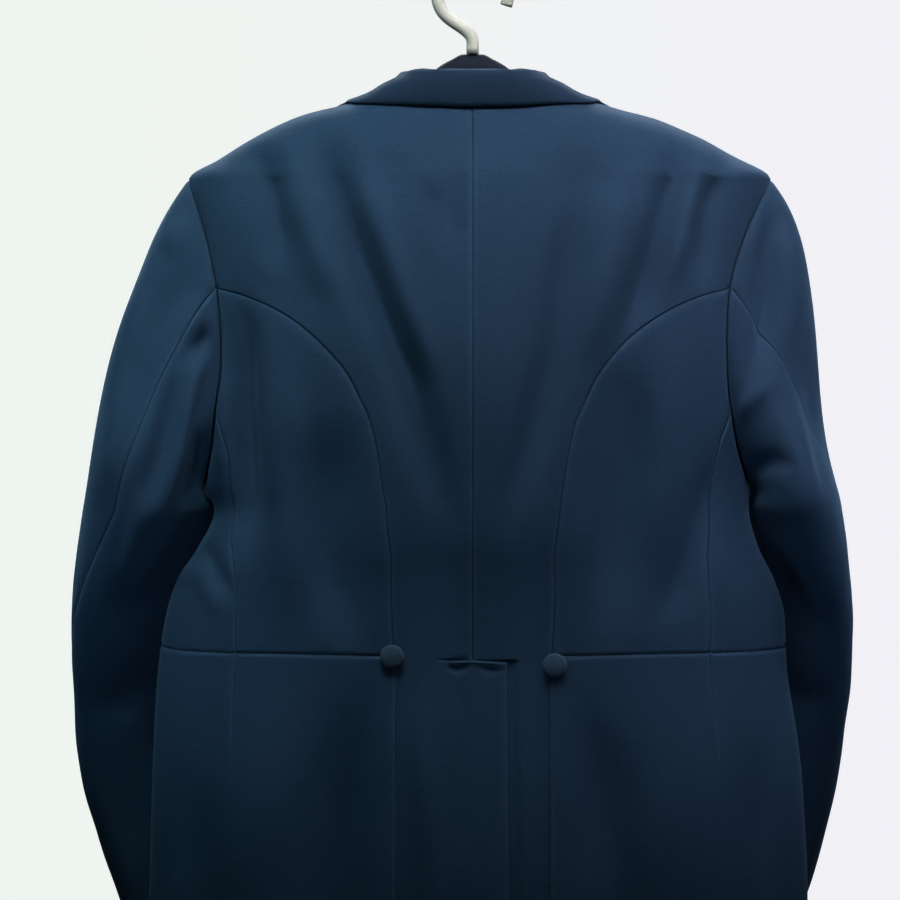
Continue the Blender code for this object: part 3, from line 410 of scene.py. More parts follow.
def column(rows, name):
    return np.array([getattr(row, name) for row in rows], dtype=float)


def between(rows, name, at, key="z"):
    return smooth(at, column(rows, key), column(rows, name))


def ramp(value, start, end):
    share = np.clip((value - start) / (end - start), 0, 1)
    return share * share * (3 - 2 * share)


def unit(v):
    return v / np.maximum(np.linalg.norm(v, axis=-1, keepdims=True), 1e-12)


# The body's surface: t is the turn from the centre back (0) over the side to the centre front (180 degrees)

def side_name(side):
    return "left" if side < 0 else "right"


def body_base(side, t, z):
    sine, cosine = np.sin(t), np.cos(t)
    reach = (np.abs(sine) ** ROUND + np.abs(cosine) ** ROUND) ** (-1 / ROUND)
    depth = np.where(cosine > 0, between(BODY, "back", z), between(BODY, "front", z))
    x = side * between(BODY, side_name(side), z) * sine * reach
    return np.stack([x, -depth * cosine * reach, z + 0 * t], -1)


def surface_normal(surface, side, t, z):
    turn, drop = 1e-4, 1e-5
    along = surface(t + turn, z) - surface(t - turn, z)
    up = surface(t, z + drop) - surface(t, z - drop)
    return unit(side * np.cross(along, up))


def trough(folds, x, z):
    """How deep the folds are at a place, from the nearest point of each fold's path."""
    depth = np.zeros(np.broadcast(x, z).shape)
    for path, width, deep in folds:
        runs = np.diff(path, axis=0)
        lengths = np.hypot(runs[:, 0], runs[:, 1])
        nearest, share = np.full(depth.shape, 9.0), np.zeros(depth.shape)
        for k, (run, length) in enumerate(zip(runs, lengths)):
            along = np.clip(((x - path[k, 0]) * run[0] + (z - path[k, 1]) * run[1]) / length**2, 0, 1)
            off = np.hypot(x - path[k, 0] - along * run[0], z - path[k, 1] - along * run[1])
            closer = off < nearest
            nearest = np.where(closer, off, nearest)
            share = np.where(closer, (lengths[:k].sum() + along * length) / lengths.sum(), share)
        ends = ramp(share, -0.02, FOLD_FADE) * (1 - ramp(share, 1 - FOLD_FADE, 1.02))
        depth = depth + deep * ends * np.exp(-((nearest / width) ** 2))
    return depth


def unevenness(x, z):
    return sum(w.height * np.sin(2 * math.pi * (x / w.across + z / w.down) + w.shift) for w in WAVES)


def body_out(side, lift, base):
    """How far the cloth stands out from the plain body at each point."""
    x, y, z = base[..., 0], base[..., 1], base[..., 2]
    out = -trough(BACK_FOLDS, x, z) * ramp(-y, 0.0, SIDE_FADE)
    out = out - trough(FRONT_FOLDS, x, z) * ramp(y, 0.0, SIDE_FADE)
    across = ramp(np.abs(x), *CREST_FROM) * (1 - ramp(np.abs(x), *CREST_TO))
    out = out + unevenness(x, z) - CREST_SOFT * across * np.exp(-(((z - SHOULDER_Z) / CREST_REACH) ** 2))
    return out + lift(side, x, y, z) if lift else out


def body_surface(side, lift=None):
    def plain(t, z):
        return body_base(side, t, z)

    def surface(t, z):
        base = plain(t, z)
        return base + surface_normal(plain, side, t, z) * body_out(side, lift, base)[..., None]

    return surface


def turn_at_x(side, x, z, front=False):
    share = np.clip(np.abs(x) / between(BODY, side_name(side), z), 0, 1) ** ROUND
    t = np.arctan2(share ** (1 / ROUND), (1 - share) ** (1 / ROUND)) * np.where(x < 0, -1, 1)
    return np.pi - t if front else t


def turn_at_y(y, z):
    depth = np.where(y < 0, between(BODY, "back", z), between(BODY, "front", z))
    share = np.clip(np.abs(y) / depth, 0, 1) ** ROUND
    t = np.arctan2((1 - share) ** (1 / ROUND), share ** (1 / ROUND))
    return np.where(y < 0, t, np.pi - t)


SHOULDER = np.array([np.pi / 2, SHOULDER_Z])


# Lines on the body, as arrays of (t, z)

def spots(side, rows, front=False):
    x, z = column(rows, "x"), column(rows, "z")
    return np.stack([turn_at_x(side, x, z, front), z], -1)


def turns(rows):
    return np.stack([np.radians(column(rows, "angle")), column(rows, "z")], -1)


def lengths_along(side, places):
    points = body_base(side, places[:, 0], places[:, 1])
    return np.concatenate([[0], np.cumsum(np.linalg.norm(np.diff(points, axis=0), axis=1))])


def seam(side, places, steps=240):
    """A smooth line through places on the body."""
    length = lengths_along(side, places)
    at = np.linspace(0, length[-1], steps + 1)
    line = np.stack([smooth(at, length, places[:, k]) for k in (0, 1)], -1)
    line[0], line[-1] = places[0], places[-1]
    return line


def straight(start, end, steps=120):
    share = np.linspace(0, 1, steps + 1)[:, None]
    return start * (1 - share) + end * share


def armhole(start, end, steps=120):
    """Places along a stretch of the armhole between two of its angles."""
    angle = np.radians(np.linspace(start, end, steps + 1))
    deep = np.where(angle < np.pi, ARMHOLE_BACK, ARMHOLE_FRONT)
    z = ARMHOLE_Z + ARMHOLE_HALF_HEIGHT * np.cos(angle)
    t = turn_at_y(-deep * np.sin(angle), z)
    places = np.stack([t, z], -1)
    if start == 0.0:
        places[0] = SHOULDER
    if end == 360.0:
        places[-1] = SHOULDER
    return places


def waist(start, end):
    t = np.linspace(start[0], end[0], 200)
    line = np.stack([t, smooth(t, np.radians(column(WAIST, "angle")), column(WAIST, "z"))], -1)
    line[0], line[-1] = start, end
    return line


def cut(side, line, shares):
    length = lengths_along(side, line)
    return np.stack([np.interp(shares * length[-1], length, line[:, k]) for k in (0, 1)], -1)


def shares_of(length, close_ends=(True, True)):
    """Shares along a line: even steps, with close ones beside each end that is a real edge."""
    even = np.linspace(0, 1, max(round(length / STEP), 3) + 1)
    near = np.array(CLOSE) / length
    low = near[-1] * 1.5 if close_ends[0] else 1e-9
    high = 1 - near[-1] * 1.5 if close_ends[1] else 1 - 1e-9
    parts = [[0], near if close_ends[0] else [], even[(even > low) & (even < high)]]
    parts += [1 - near[::-1] if close_ends[1] else [], [1]]
    return np.concatenate(parts)


def patch(side, top, bottom, left, right, down, across):
    """A grid of places between four lines on the body; rows run from top to bottom."""
    top, bottom = cut(side, top, across), cut(side, bottom, across)
    left, right = cut(side, left, down), cut(side, right, down)
    left[0], left[-1], right[0], right[-1] = top[0], bottom[0], top[-1], bottom[-1]
    v, u = down[:, None, None], across[None, :, None]
    corners = (1 - v) * ((1 - u) * top[0] + u * top[-1]) + v * ((1 - u) * bottom[0] + u * bottom[-1])
    return (1 - v) * top + v * bottom + (1 - u) * left[:, None] + u * right[:, None] - corners


# Meshes

Grid = namedtuple("Grid", "points normals key uv edge")


def from_edges(points, edges):
    """Distance of each grid point from the piece's real edges: t, b, l and r name the grid's sides."""
    across = np.linalg.norm(np.diff(points, axis=1), axis=2)
    down = np.linalg.norm(np.diff(points, axis=0), axis=2)
    zero_column, zero_row = np.zeros((points.shape[0], 1)), np.zeros((1, points.shape[1]))
    left = np.concatenate([zero_column, np.cumsum(across, axis=1)], 1)
    top = np.concatenate([zero_row, np.cumsum(down, axis=0)], 0)
    far = {"l": left, "r": left[:, -1:] - left, "t": top, "b": top[-1:] - top}
    return np.minimum.reduce([far[name] for name in edges]) if edges else np.full(points.shape[:2], 1.0)


def ring_length(side, t, z):
    """Distance round the body from the centre back, so that a weave runs level on every panel."""
    steps = 16
    total, last = 0.0, body_base(side, 0 * t, z)
    for k in range(1, steps + 1):
        point = body_base(side, t * k / steps, z)
        total, last = total + np.linalg.norm(point - last, axis=-1), point
    return total * np.where(t < 0, -1, 1)


def press(distance):
    return -PRESS * np.exp(-((distance / PRESS_REACH) ** 2))


def beside_edge(distance):
    return np.exp(-((distance / EDGE_REACH) ** 2))


def on_body(side, lift, lines, steps, edges, dart=""):
    """The grid of a panel on the body, between its top, bottom, left and right lines and with steps down and
    across; a dart at one of its sides fades out downward."""
    places = patch(side, *lines, *steps)
    t, z = places[..., 0], places[..., 1]
    base = body_base(side, t, z)
    plain = surface_normal(lambda a, b: body_base(side, a, b), side, t, z)
    faded = DART_FADE_AWAY * ramp(-z, *DART_FADE)
    distance = np.minimum(from_edges(base, edges), from_edges(base, dart) + faded)
    out = body_out(side, lift, base) + press(distance)
    normals = surface_normal(body_surface(side, lift), side, t, z)
    uv = np.stack([ring_length(side, t, z) * side, z], -1)
    return Grid(base + plain * out[..., None], normals, base, uv, beside_edge(distance))


def weld(grids):
    """Joins grids where their places on the plain body are the same."""
    shapes = [grid.key.shape[:2] for grid in grids]
    points, normals, key, uv, edge = (
        np.concatenate([part.reshape(rows * columns, -1) for part, (rows, columns) in zip(parts, shapes)])
        for parts in zip(*grids)
    )
    rounded = np.round(key * 1e6).astype(int)
    _, first, known = np.unique(rounded, axis=0, return_index=True, return_inverse=True)
    known = known.reshape(-1)
    faces, offset = [], 0
    for rows, columns in shapes:
        ids = known[offset : offset + rows * columns].reshape(rows, columns)
        offset += rows * columns
        corners = [ids[:-1, :-1], ids[1:, :-1], ids[1:, 1:], ids[:-1, 1:]]
        faces.append(np.stack(corners, -1).reshape(-1, 4))
    return points[first], unit(normals[first]), uv[first], edge[first, 0], np.concatenate(faces)


def add_mesh(name, vertices, faces, uv=None, edge=None, smooth_faces=True):
    mesh = bpy.data.meshes.new(name)
    mesh.from_pydata(vertices.tolist(), [], [list(dict.fromkeys(f)) for f in faces.tolist()])
    mesh.polygons.foreach_set("use_smooth", [smooth_faces] * len(mesh.polygons))
    if uv is not None:
        corners = np.zeros(len(mesh.loops), dtype=int)
        mesh.loops.foreach_get("vertex_index", corners)
        mesh.uv_layers.new(name="cloth").data.foreach_set("uv", uv[corners].ravel())
    if edge is not None:
        mesh.attributes.new("edge", "FLOAT", "POINT").data.foreach_set("value", edge)
    mesh.update()
    piece = bpy.data.objects.new(name, mesh)
    bpy.context.scene.collection.objects.link(piece)
    return piece


def rim_loop(faces, count):
    """Edges that only one face has, in that face's direction."""
    a, b = faces.ravel(), np.roll(faces, -1, axis=1).ravel()
    keep = a != b
    code, back = a[keep] * count + b[keep], b[keep] * count + a[keep]
    code = code[~np.isin(code, back)]
    return np.stack([code // count, code % count], -1)


def stand_for(piece, node, look):
    """Gives a piece its look and puts it in place of its CAD node."""
    piece.data.materials.append(look)
    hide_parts(node)
    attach(piece, "root")


def cloth(kind, side, grids, look):
    """A closed thin wall under grids of outer points; the collar alone has no side."""
    node = f"{kind}_{side_name(side)}" if side else kind
    points, normals, uv, edge, faces = weld(grids)
    if side < 0:
        faces = faces[:, ::-1]
    count = len(points)
    rim = rim_loop(faces, count)
    start, end = rim[:, 0], rim[:, 1]
    across = unit(np.cross(normals[start] + normals[end], points[end] - points[start]))
    inward = np.zeros_like(points)
    np.add.at(inward, start, across)
    np.add.at(inward, end, across)
    spread = np.maximum((inward**2).sum(1) / 2, SHARP_RIM)
    outer = points + inward / spread[:, None] * SEAM_GAP / 2
    inner = outer - normals * CLOTH
    edges = np.stack([end, start, start + count, end + count], -1)
    walls = np.concatenate([faces, faces[:, ::-1] + count, edges])
    both = np.concatenate([outer, inner])
    piece = add_mesh(f"{node}_cloth", both, walls, np.concatenate([uv, uv]), np.concatenate([edge, edge]))
    stand_for(piece, node, look)


# Lifts: how far a piece stands off the body

def flap_x(z):
    """How far the left tail's flap reaches over the middle."""
    return smooth(z, [VENT_TOP_Z, HEM_Z], [VENT_LAP_TOP, VENT_LAP_HEM])


def tail_lift(side, x, y, z):
    if side < 0:
        return 0 * x
    under = ramp(-z, *TAIL_UNDER_FROM) * (1 - ramp(x - flap_x(z), *TAIL_UNDER_BESIDE))
    return -(CLOTH + LAP_GAP) * under


def lap_lift(side, x, y, z):
    if side > 0:
        return 0 * x
    return FRONT_LAP * ramp(y, 0, FRONT_LAP_FROM_Y) * ramp(x, *FRONT_LAP_X) * ramp(-z, *FRONT_LAP_DOWN)


def skirt_lift(side, x, y, z):
    over = (1 - ramp(np.abs(x), *SKIRT_OVER_X)) * ramp(-y, 0, 0.02)
    return lap_lift(side, x, y, z) + (CLOTH + LAP_GAP) * over


def lapel_lift(side, x, y, z):
    return lap_lift(side, x, y, z) + LAPEL_LIFT


# Panels

def curved_seam(side):
    top = armhole(CURVED_SEAM_AT, SIDE_SEAM_AT)[:1]
    return seam(side, np.concatenate([top, spots(side, CURVED_SEAM)]))


def side_seam(side):
    top = armhole(SIDE_SEAM_AT, UNDERARM_AT)[:1]
    return seam(side, np.concatenate([top, spots(side, SIDE_SEAM)]))


def shoulder_seam():
    return straight(np.array([np.pi / 2, NECK_BACK[-1].z]), SHOULDER)


def upright(t_of_z, top, bottom):
    z = np.linspace(top, bottom, 120)
    return np.stack([t_of_z(z), z], -1)


def tail_steps():
    """Steps down the tails, close together at the tack above the vent."""
    length = WAIST[0].z - HEM_Z
    even = shares_of(length, (False, True))
    close = np.array(TACK_ROWS) / length
    return np.concatenate([[0], close, even[even > close[-1] + 0.3 * STEP / length]])


def add_back(side, look):
    def middle(top, bottom):
        return upright(np.zeros_like, top, bottom)

    neck, shoulder, curved = seam(side, spots(side, NECK_BACK)), shoulder_seam(), curved_seam(side)
    heights = (NECK_BACK[0].z, SHOULDER_Z, CURVED_SEAM_ROW_Z, WAIST[0].z, HEM_Z)
    centre = [middle(top, bottom) for top, bottom in zip(heights, heights[1:])]
    tail_side = upright(lambda z: turn_at_x(side, CURVED_SEAM[-1].x, z), WAIST[0].z, HEM_Z)
    tail_side[0] = curved[-1]
    sides = [shoulder, armhole(0.0, CURVED_SEAM_AT), curved, tail_side]
    rows = [neck]
    for k, end in enumerate((shoulder[-1], curved[0], curved[-1], tail_side[-1])):
        rows.append(straight(centre[k][-1], end))
    down = [shares_of(length, (k == 0, False)) for k, length in enumerate(BACK_DOWN)] + [tail_steps()]
    across = shares_of(BACK_ACROSS)
    grids = []
    for k, edges in enumerate(("tlr", "lr", "lr", "b")):
        lines = rows[k], rows[k + 1], centre[k], sides[k]
        grids.append(on_body(side, tail_lift, lines, (down[k], across), edges))
    under = upright(lambda z: turn_at_x(side, PLEAT_UNDER_X + 0 * z, z), tail_side[0, 1], HEM_Z)
    lines = straight(tail_side[0], under[0]), straight(tail_side[-1], under[-1]), tail_side, under
    across = shares_of(PLEAT_ACROSS, (False, True))
    grids.append(on_body(side, tail_lift, lines, (down[3], across), "tbr"))
    lap = upright(lambda z: turn_at_x(side, -flap_x(z), z), VENT_TOP_Z, HEM_Z)
    lines = straight(lap[0], centre[3][0]), straight(lap[-1], centre[3][-1]), lap, centre[3]
    across = shares_of(VENT_ACROSS, (True, False))
    grids.append(on_body(side, tail_lift, lines, (down[3], across), "tbl"))
    cloth("back", side, grids, look)


def add_side_body(side, look):
    curved, line, arm = curved_seam(side), side_seam(side), armhole(CURVED_SEAM_AT, SIDE_SEAM_AT)
    lines = arm, waist(curved[-1], line[-1]), curved, line
    steps = [shares_of(length) for length in SIDE_BODY_GRID]
    cloth("side_body", side, [on_body(side, None, lines, steps, "tblr")], look)


def front_lines(side):
    high, low = (seam(side, spots(side, roll, front=True)) for roll in (ROLL_HIGH, ROLL_LOW))
    meet = int(np.argmin(np.abs(high[:, 1] - SHOULDER_ROLL_Z)))
    return high[: meet + 1], high[meet:], low


def add_front(side, look):
    neck, shoulder = seam(side, spots(side, NECK_FRONT, front=True)), shoulder_seam()
    roll_top, roll_mid, roll_low = front_lines(side)
    arm, under = armhole(UNDERARM_AT, 360.0)[::-1], armhole(SIDE_SEAM_AT, UNDERARM_AT)
    line = side_seam(side)
    shoulder_row, arm_row = straight(SHOULDER, roll_top[-1]), straight(arm[-1], roll_mid[-1])
    belly_z = smooth(BELLY_AT, column(WAIST, "angle"), column(WAIST, "z"))
    belly = straight(arm[-1], np.array([np.radians(BELLY_AT), belly_z]))
    across, back_across = shares_of(FRONT_ACROSS[0]), shares_of(FRONT_ACROSS[1], (True, False))
    top_down = shares_of(FRONT_DOWN[0], (True, False))
    arm_down = shares_of(FRONT_DOWN[1], (False, False))
    low_down = shares_of(FRONT_DOWN[2])
    parts = (
        ((neck, shoulder_row, shoulder, roll_top), (top_down, across), "tlr"),
        ((shoulder_row, arm_row, arm, roll_mid), (arm_down, across), "lr"),
        ((arm_row, waist(belly[-1], roll_low[-1]), belly, roll_low), (low_down, across), "br"),
        ((under, waist(line[-1], belly[-1]), line, belly), (low_down, back_across), "tbl"),
    )
    grids = [on_body(side, lap_lift, lines, steps, edges) for lines, steps, edges in parts]
    cloth("front", side, grids, look)


def add_skirt(side, look):
    line_end, front_end = side_seam(side)[-1], front_lines(side)[2][-1]
    pleat = upright(lambda z: turn_at_x(side, PLEAT_X + 0 * z, z), WAIST[1].z, HEM_Z + 0.002)
    dart_end = turns([DART_HEM])[0]
    dart = straight(line_end, dart_end)
    cutaway = seam(side, np.concatenate([[front_end], turns(CUTAWAY)]))
    hem_back = seam(side, np.concatenate([pleat[-1:], turns(HEM_BACK)]))
    hem_front = seam(side, np.concatenate([[dart_end], turns(HEM_FRONT)]))
    down = shares_of(SKIRT_DOWN)
    parts = (
        ((waist(pleat[0], line_end), hem_back, pleat, dart), SKIRT_ACROSS[0], "tbl", "r"),
        ((waist(line_end, front_end), hem_front, dart, cutaway), SKIRT_ACROSS[1], "tbr", "l"),
    )
    grids = [
        on_body(side, skirt_lift, lines, (down, shares_of(length)), edges, dart_side)
        for lines, length, edges, dart_side in parts
    ]
    cloth("skirt", side, grids, look)


def add_lapel(side, look):
    """The lapel turns round the roll line and lies on the front."""
    tables = LAPEL_ROLL, LAPEL_EDGE, GORGE
    roll, edge, gorge = (seam(side, spots(side, rows, front=True)) for rows in tables)
    steps = shares_of(LAPEL_GRID[0]), shares_of(LAPEL_GRID[1], (False, True))
    lines = gorge, straight(roll[-1], edge[-1]), roll, edge
    flat = on_body(side, lapel_lift, lines, steps, "tbr")
    surface = body_surface(side, lap_lift)
    t, z = patch(side, *lines, *steps)[:, 0].T
    base, out = surface(t, z), surface_normal(surface, side, t, z)
    toward = unit(surface(t + 1e-4, z) - base)
    radius = (LAPEL_LIFT + CLOTH) / 2
    turned, turned_out = [], []
    for a in np.radians(np.linspace(0, 180, 13))[:-1]:
        aside, off = LAPEL_CLEAR + radius * math.sin(a), LAPEL_LIFT - radius - radius * math.cos(a)
        turned.append(base + toward * aside + out * off)
        turned_out.append(toward * math.sin(a) - out * math.cos(a))
    points = np.concatenate([np.stack(turned, 1), flat.points], 1)[:, ::-1]
    normals = np.concatenate([np.stack(turned_out, 1), flat.normals], 1)[:, ::-1]
    uv = np.stack([from_edges(points, "l"), points[..., 2]], -1)
    grid = Grid(points, normals, points, uv, beside_edge(from_edges(points, "tbl")))
    cloth("lapel", side, [grid], look)


def grid_normals(grid, closed=False):
    if closed:
        grid = np.concatenate([grid[:, -1:], grid, grid[:, :1]], 1)
    normals = unit(np.cross(np.gradient(grid, axis=1), -np.gradient(grid, axis=0)))
    return normals[:, 1:-1] if closed else normals


def collar_profile(side, base, base_out, share, steps):
    """Points up the stand, over the roll and down the fall, at one place along the neck."""
    names = CollarRow._fields[1:]
    x, y, top, turn, z, high, low = (between(COLLAR, name, share, "share") for name in names)
    roll = np.array([side * x, y, top])
    surface = body_surface(side)
    t = np.radians(turn)
    edge = surface(t, z) + surface_normal(surface, side, t, z) * COLLAR_LIFT
    up = np.array([0, 0, 1.0])
    level = unit(base_out * [1, 1, 0])
    foot = base - level * CLOTH + up * 0.0006
    radius = COLLAR_ROLL_RADIUS
    centre = roll - up * radius
    low_stand, high_stand = (2 * foot + centre - 0.97 * radius * level) / 3, centre - radius * level
    knots = [foot, low_stand, (low_stand + high_stand) / 2, high_stand]
    over = np.radians((45, 90, 135))
    knots += [centre + radius * (-math.cos(a) * level + math.sin(a) * up) for a in over]
    outer = centre + radius * (0.95 * level + 0.3 * up)
    knots.append(outer)
    knots += [0.66 * outer + 0.34 * edge + high * level, 0.33 * outer + 0.67 * edge + low * level, edge]
    knots = np.array(knots)
    length = np.concatenate([[0], np.cumsum(np.linalg.norm(np.diff(knots, axis=0), axis=1))])
    return np.stack([smooth(steps * length[-1], length, knots[:, k]) for k in range(3)], -1)


def add_collar(look):
    profile = shares_of(COLLAR_PROFILE, (False, True))
    back_shares, front_shares = (shares_of(length, (False, False)) for length in COLLAR_NECK)
    front_part = COLLAR_BACK_SHARE + front_shares[1:] * (1 - COLLAR_BACK_SHARE)
    shares = np.concatenate([back_shares * COLLAR_BACK_SHARE, front_part])
    rows = []
    for side in SIDES:
        neck, front = seam(side, spots(side, NECK_BACK)), seam(side, spots(side, NECK_FRONT, front=True))
        front_places = cut(side, front, front_shares * COLLAR_FRONT_USED)[1:]
        t, z = np.concatenate([cut(side, neck, back_shares), front_places]).T
        surface = body_surface(side)
        bases, outs = surface(t, z), surface_normal(surface, side, t, z)
        half = [collar_profile(side, *place, profile) for place in zip(bases, outs, shares)]
        rows += half[:0:-1] if side < 0 else half
    points = np.array(rows).transpose(1, 0, 2)
    normals = grid_normals(points)
    distance = from_edges(points, "blr")
    points = points + normals * press(distance)[..., None]
    uv = np.stack([from_edges(points, "l"), from_edges(points, "t")], -1)
    cloth("collar", 0, [Grid(points, normals, points, uv, beside_edge(distance))], look)


# Sleeves

def sleeve_section(side, angle, z):
    """Points of a level section; the angle is 0 at the outer side and 90 degrees at the back."""
    name = side_name(side)
    out, inner = between(SLEEVE, f"{name}_out", z), between(SLEEVE, f"{name}_in", z)
    half_width = (out - inner) / 2
    around = between(SLEEVE, "girth", z) / (2 * math.pi)
    half_depth = np.sqrt(2 * around**2 - half_width**2)
    lean = np.radians(between(SLEEVE, "lean", z))
    x = side * ((out + inner) / 2 + half_width * np.cos(angle))
    y = between(SLEEVE, "middle_y", z) - half_depth * np.sin(angle + lean)
    return np.stack([x, y, z + 0 * angle], -1)


def sleeve_angles(side, z, head):
    """The armhole's own angles, shifted at each height so that they follow the sleeve's two seams."""
    back = math.radians(float(between(BACK_SEAM, side_name(side), z)))
    start, front, full = math.radians(CURVED_SEAM_AT), math.radians(FRONT_SEAM_AT), 2 * math.pi
    scale = (full - front + back) / (full - front + start)
    under = back + (head - start) * (front - back) / (front - start)
    top = np.where(head <= start, back + (head - start) * scale, front + (head - front) * scale)
    return np.where((head > start) & (head <= front), under, top)


def sleeve_head(side, loop, head, first, shares):
    """Rows that fan from the armhole to the first level section."""
    at_top, at_foot, aside = ((1 + np.cos(head)) / 2) ** 2, ((1 - np.cos(head)) / 2) ** 2, np.sin(head) ** 2
    ways = zip(LEAVE_SHOULDER, LEAVE_UNDERARM, LEAVE_BETWEEN)
    out, down = (top * at_top + foot * at_foot + other * aside for top, foot, other in ways)
    leave = unit(np.stack([side * out, -LEAVE_BACKWARD * np.sin(head), -down], -1))
    arrive = np.array([side * ARRIVE.out, ARRIVE_FORWARD, -ARRIVE.down])
    chord = np.linalg.norm(first - loop, axis=1)[:, None]
    from_seam = (head - math.radians(CURVED_SEAM_AT)) / math.radians(SEAM_EASE_REACH)
    pull = (LEAVE_PULL - SEAM_EASE * np.exp(-(from_seam**2)))[:, None]
    return [
        loop * (2 * s**3 - 3 * s**2 + 1)
        + first * (3 * s**2 - 2 * s**3)
        + leave * chord * pull * (s**3 - 2 * s**2 + s)
        + arrive * chord * (s**3 - s**2)
        for s in shares
    ]


def stretch(start, end):
    """Angles between two places round the armhole, close beside both."""
    return start + (end - start) * shares_of(math.radians(end - start) * ARMHOLE_RADIUS)


def sleeve_rows(side, head):
    """Points of the plain sleeve from the armhole down to the cuff, and their normals."""
    z = ARMHOLE_Z + ARMHOLE_HALF_HEIGHT * np.cos(head)
    t = turn_at_y(-np.where(head < np.pi, ARMHOLE_BACK, ARMHOLE_FRONT) * np.sin(head), z)
    t[0], z[0] = SHOULDER
    surface = body_surface(side, lap_lift)
    loop, loop_out = surface(t, z), surface_normal(surface, side, t, z)
    first_z = SLEEVE[0].z
    first = sleeve_section(side, sleeve_angles(side, first_z, head), first_z)
    rows = sleeve_head(side, loop, head, first, shares_of(SLEEVE_DOWN[0], (True, False)))
    levels = first_z + (SLEEVE[-1].z - first_z) * shares_of(SLEEVE_DOWN[1], (False, True))[1:]
    rows += [sleeve_section(side, sleeve_angles(side, level, head), level) for level in levels]
    plain = np.array(rows)
    normals = -side * grid_normals(plain, closed=True)
    at_top = ramp(np.cos(head), -0.5, 0.2)[:, None]
    normals[0] = unit(loop_out * at_top + normals[0] * (1 - at_top))
    return plain, normals


def add_sleeve(side, look):
    stops = 0.0, CURVED_SEAM_AT, FRONT_SEAM_AT, 360.0
    degrees = np.concatenate([stretch(start, end)[:-1] for start, end in zip(stops, stops[1:])])
    plain, normals = sleeve_rows(side, np.radians(degrees))
    x, y, z = plain[..., 0], plain[..., 1], plain[..., 2]
    away = ramp(from_edges(plain, "t"), 0.0, 0.020)
    out = -trough(SLEEVE_BACK_FOLDS, x, z) * ramp(-normals[..., 1], 0.0, SLEEVE_FADE) * away
    out = out - trough(SLEEVE_FRONT_FOLDS, x, z) * ramp(normals[..., 1], 0.0, SLEEVE_FADE) * away
    out = out + unevenness(x + y, z) * away
    back_at, front_at = (int(np.argmin(np.abs(degrees - angle))) for angle in stops[1:3])
    columns = {
        "under_sleeve": np.arange(back_at, front_at + 1),
        "top_sleeve": np.arange(front_at, len(degrees) + back_at + 1) % len(degrees),
    }
    for kind, chosen in columns.items():
        chosen = chosen[::-1]
        base = plain[:, chosen]
        distance = from_edges(base, "tblr")
        points = base + normals[:, chosen] * (out[:, chosen] + press(distance))[..., None]
        uv = np.stack([from_edges(base, "l"), -from_edges(base, "t")], -1)
        grid = Grid(points, normals[:, chosen], base, uv, beside_edge(distance))
        cloth(kind, side, [grid], look)


# Hard pieces

def full_turn(count):
    return np.arange(count) * 2 * math.pi / count


def ring_mesh(rings, ends):
    """Points and faces of a closed form through rings of points, with one more point at each end."""
    count = len(rings[0])
    j = np.arange(count)
    n = (j + 1) % count
    starts = [k * count for k in range(len(rings))]
    faces = [np.stack([low + j, low + n, high + n, high + j], -1) for low, high in zip(starts, starts[1:])]
    first = len(rings) * count
    faces.append(np.stack([0 * j + first, n, j, j], -1))
    faces.append(np.stack([starts[-1] + j, starts[-1] + n, 0 * j + first + 1, 0 * j + first + 1], -1))
    return np.concatenate([np.array(rings).reshape(-1, 3), ends]), np.concatenate(faces)


def add_button(node, surface, side, t, z, look):
    t, z = np.array(t), np.array(z)
    out = surface_normal(surface, side, t, z)
    across = unit(np.cross([0, 0, 1.0], out))
    up = np.cross(out, across)
    seat = surface(t, z) + out * BUTTON_CLEAR
    round_it = [across * math.cos(a) + up * math.sin(a) for a in full_turn(64)]
    rings = [[seat + row.radius * way + out * row.height for way in round_it] for row in BUTTON_DOME]
    vertices, faces = ring_mesh(rings, [seat, seat + out * BUTTON_TOP])
    flat = (vertices - seat) @ np.stack([across, up], -1)
    piece = add_mesh(f"{node}_dome", vertices, faces, flat, np.zeros(len(vertices)))
    stand_for(piece, node, look)


def add_buttons(look):
    for side, spot in BACK_BUTTONS.items():
        surface = body_surface(side, skirt_lift)
        t = turn_at_x(side, abs(spot.x), spot.z)
        add_button(f"back_button_{side_name(side)}", surface, side, t, spot.z, look)
    add_button("front_button", body_surface(-1, lap_lift), -1, np.pi, FRONT_BUTTON_Z, look)


def add_tube(name, node, rings, look):
    vertices, faces = ring_mesh(rings, [np.mean(ring, axis=0) for ring in (rings[0], rings[-1])])
    stand_for(add_mesh(name, vertices, faces), node, look)


def ridge_top(x):
    z = np.linspace(BODY[0].z, SHOULDER_Z, 200)
    return float(np.interp(x, between(BODY, "left", z), z))


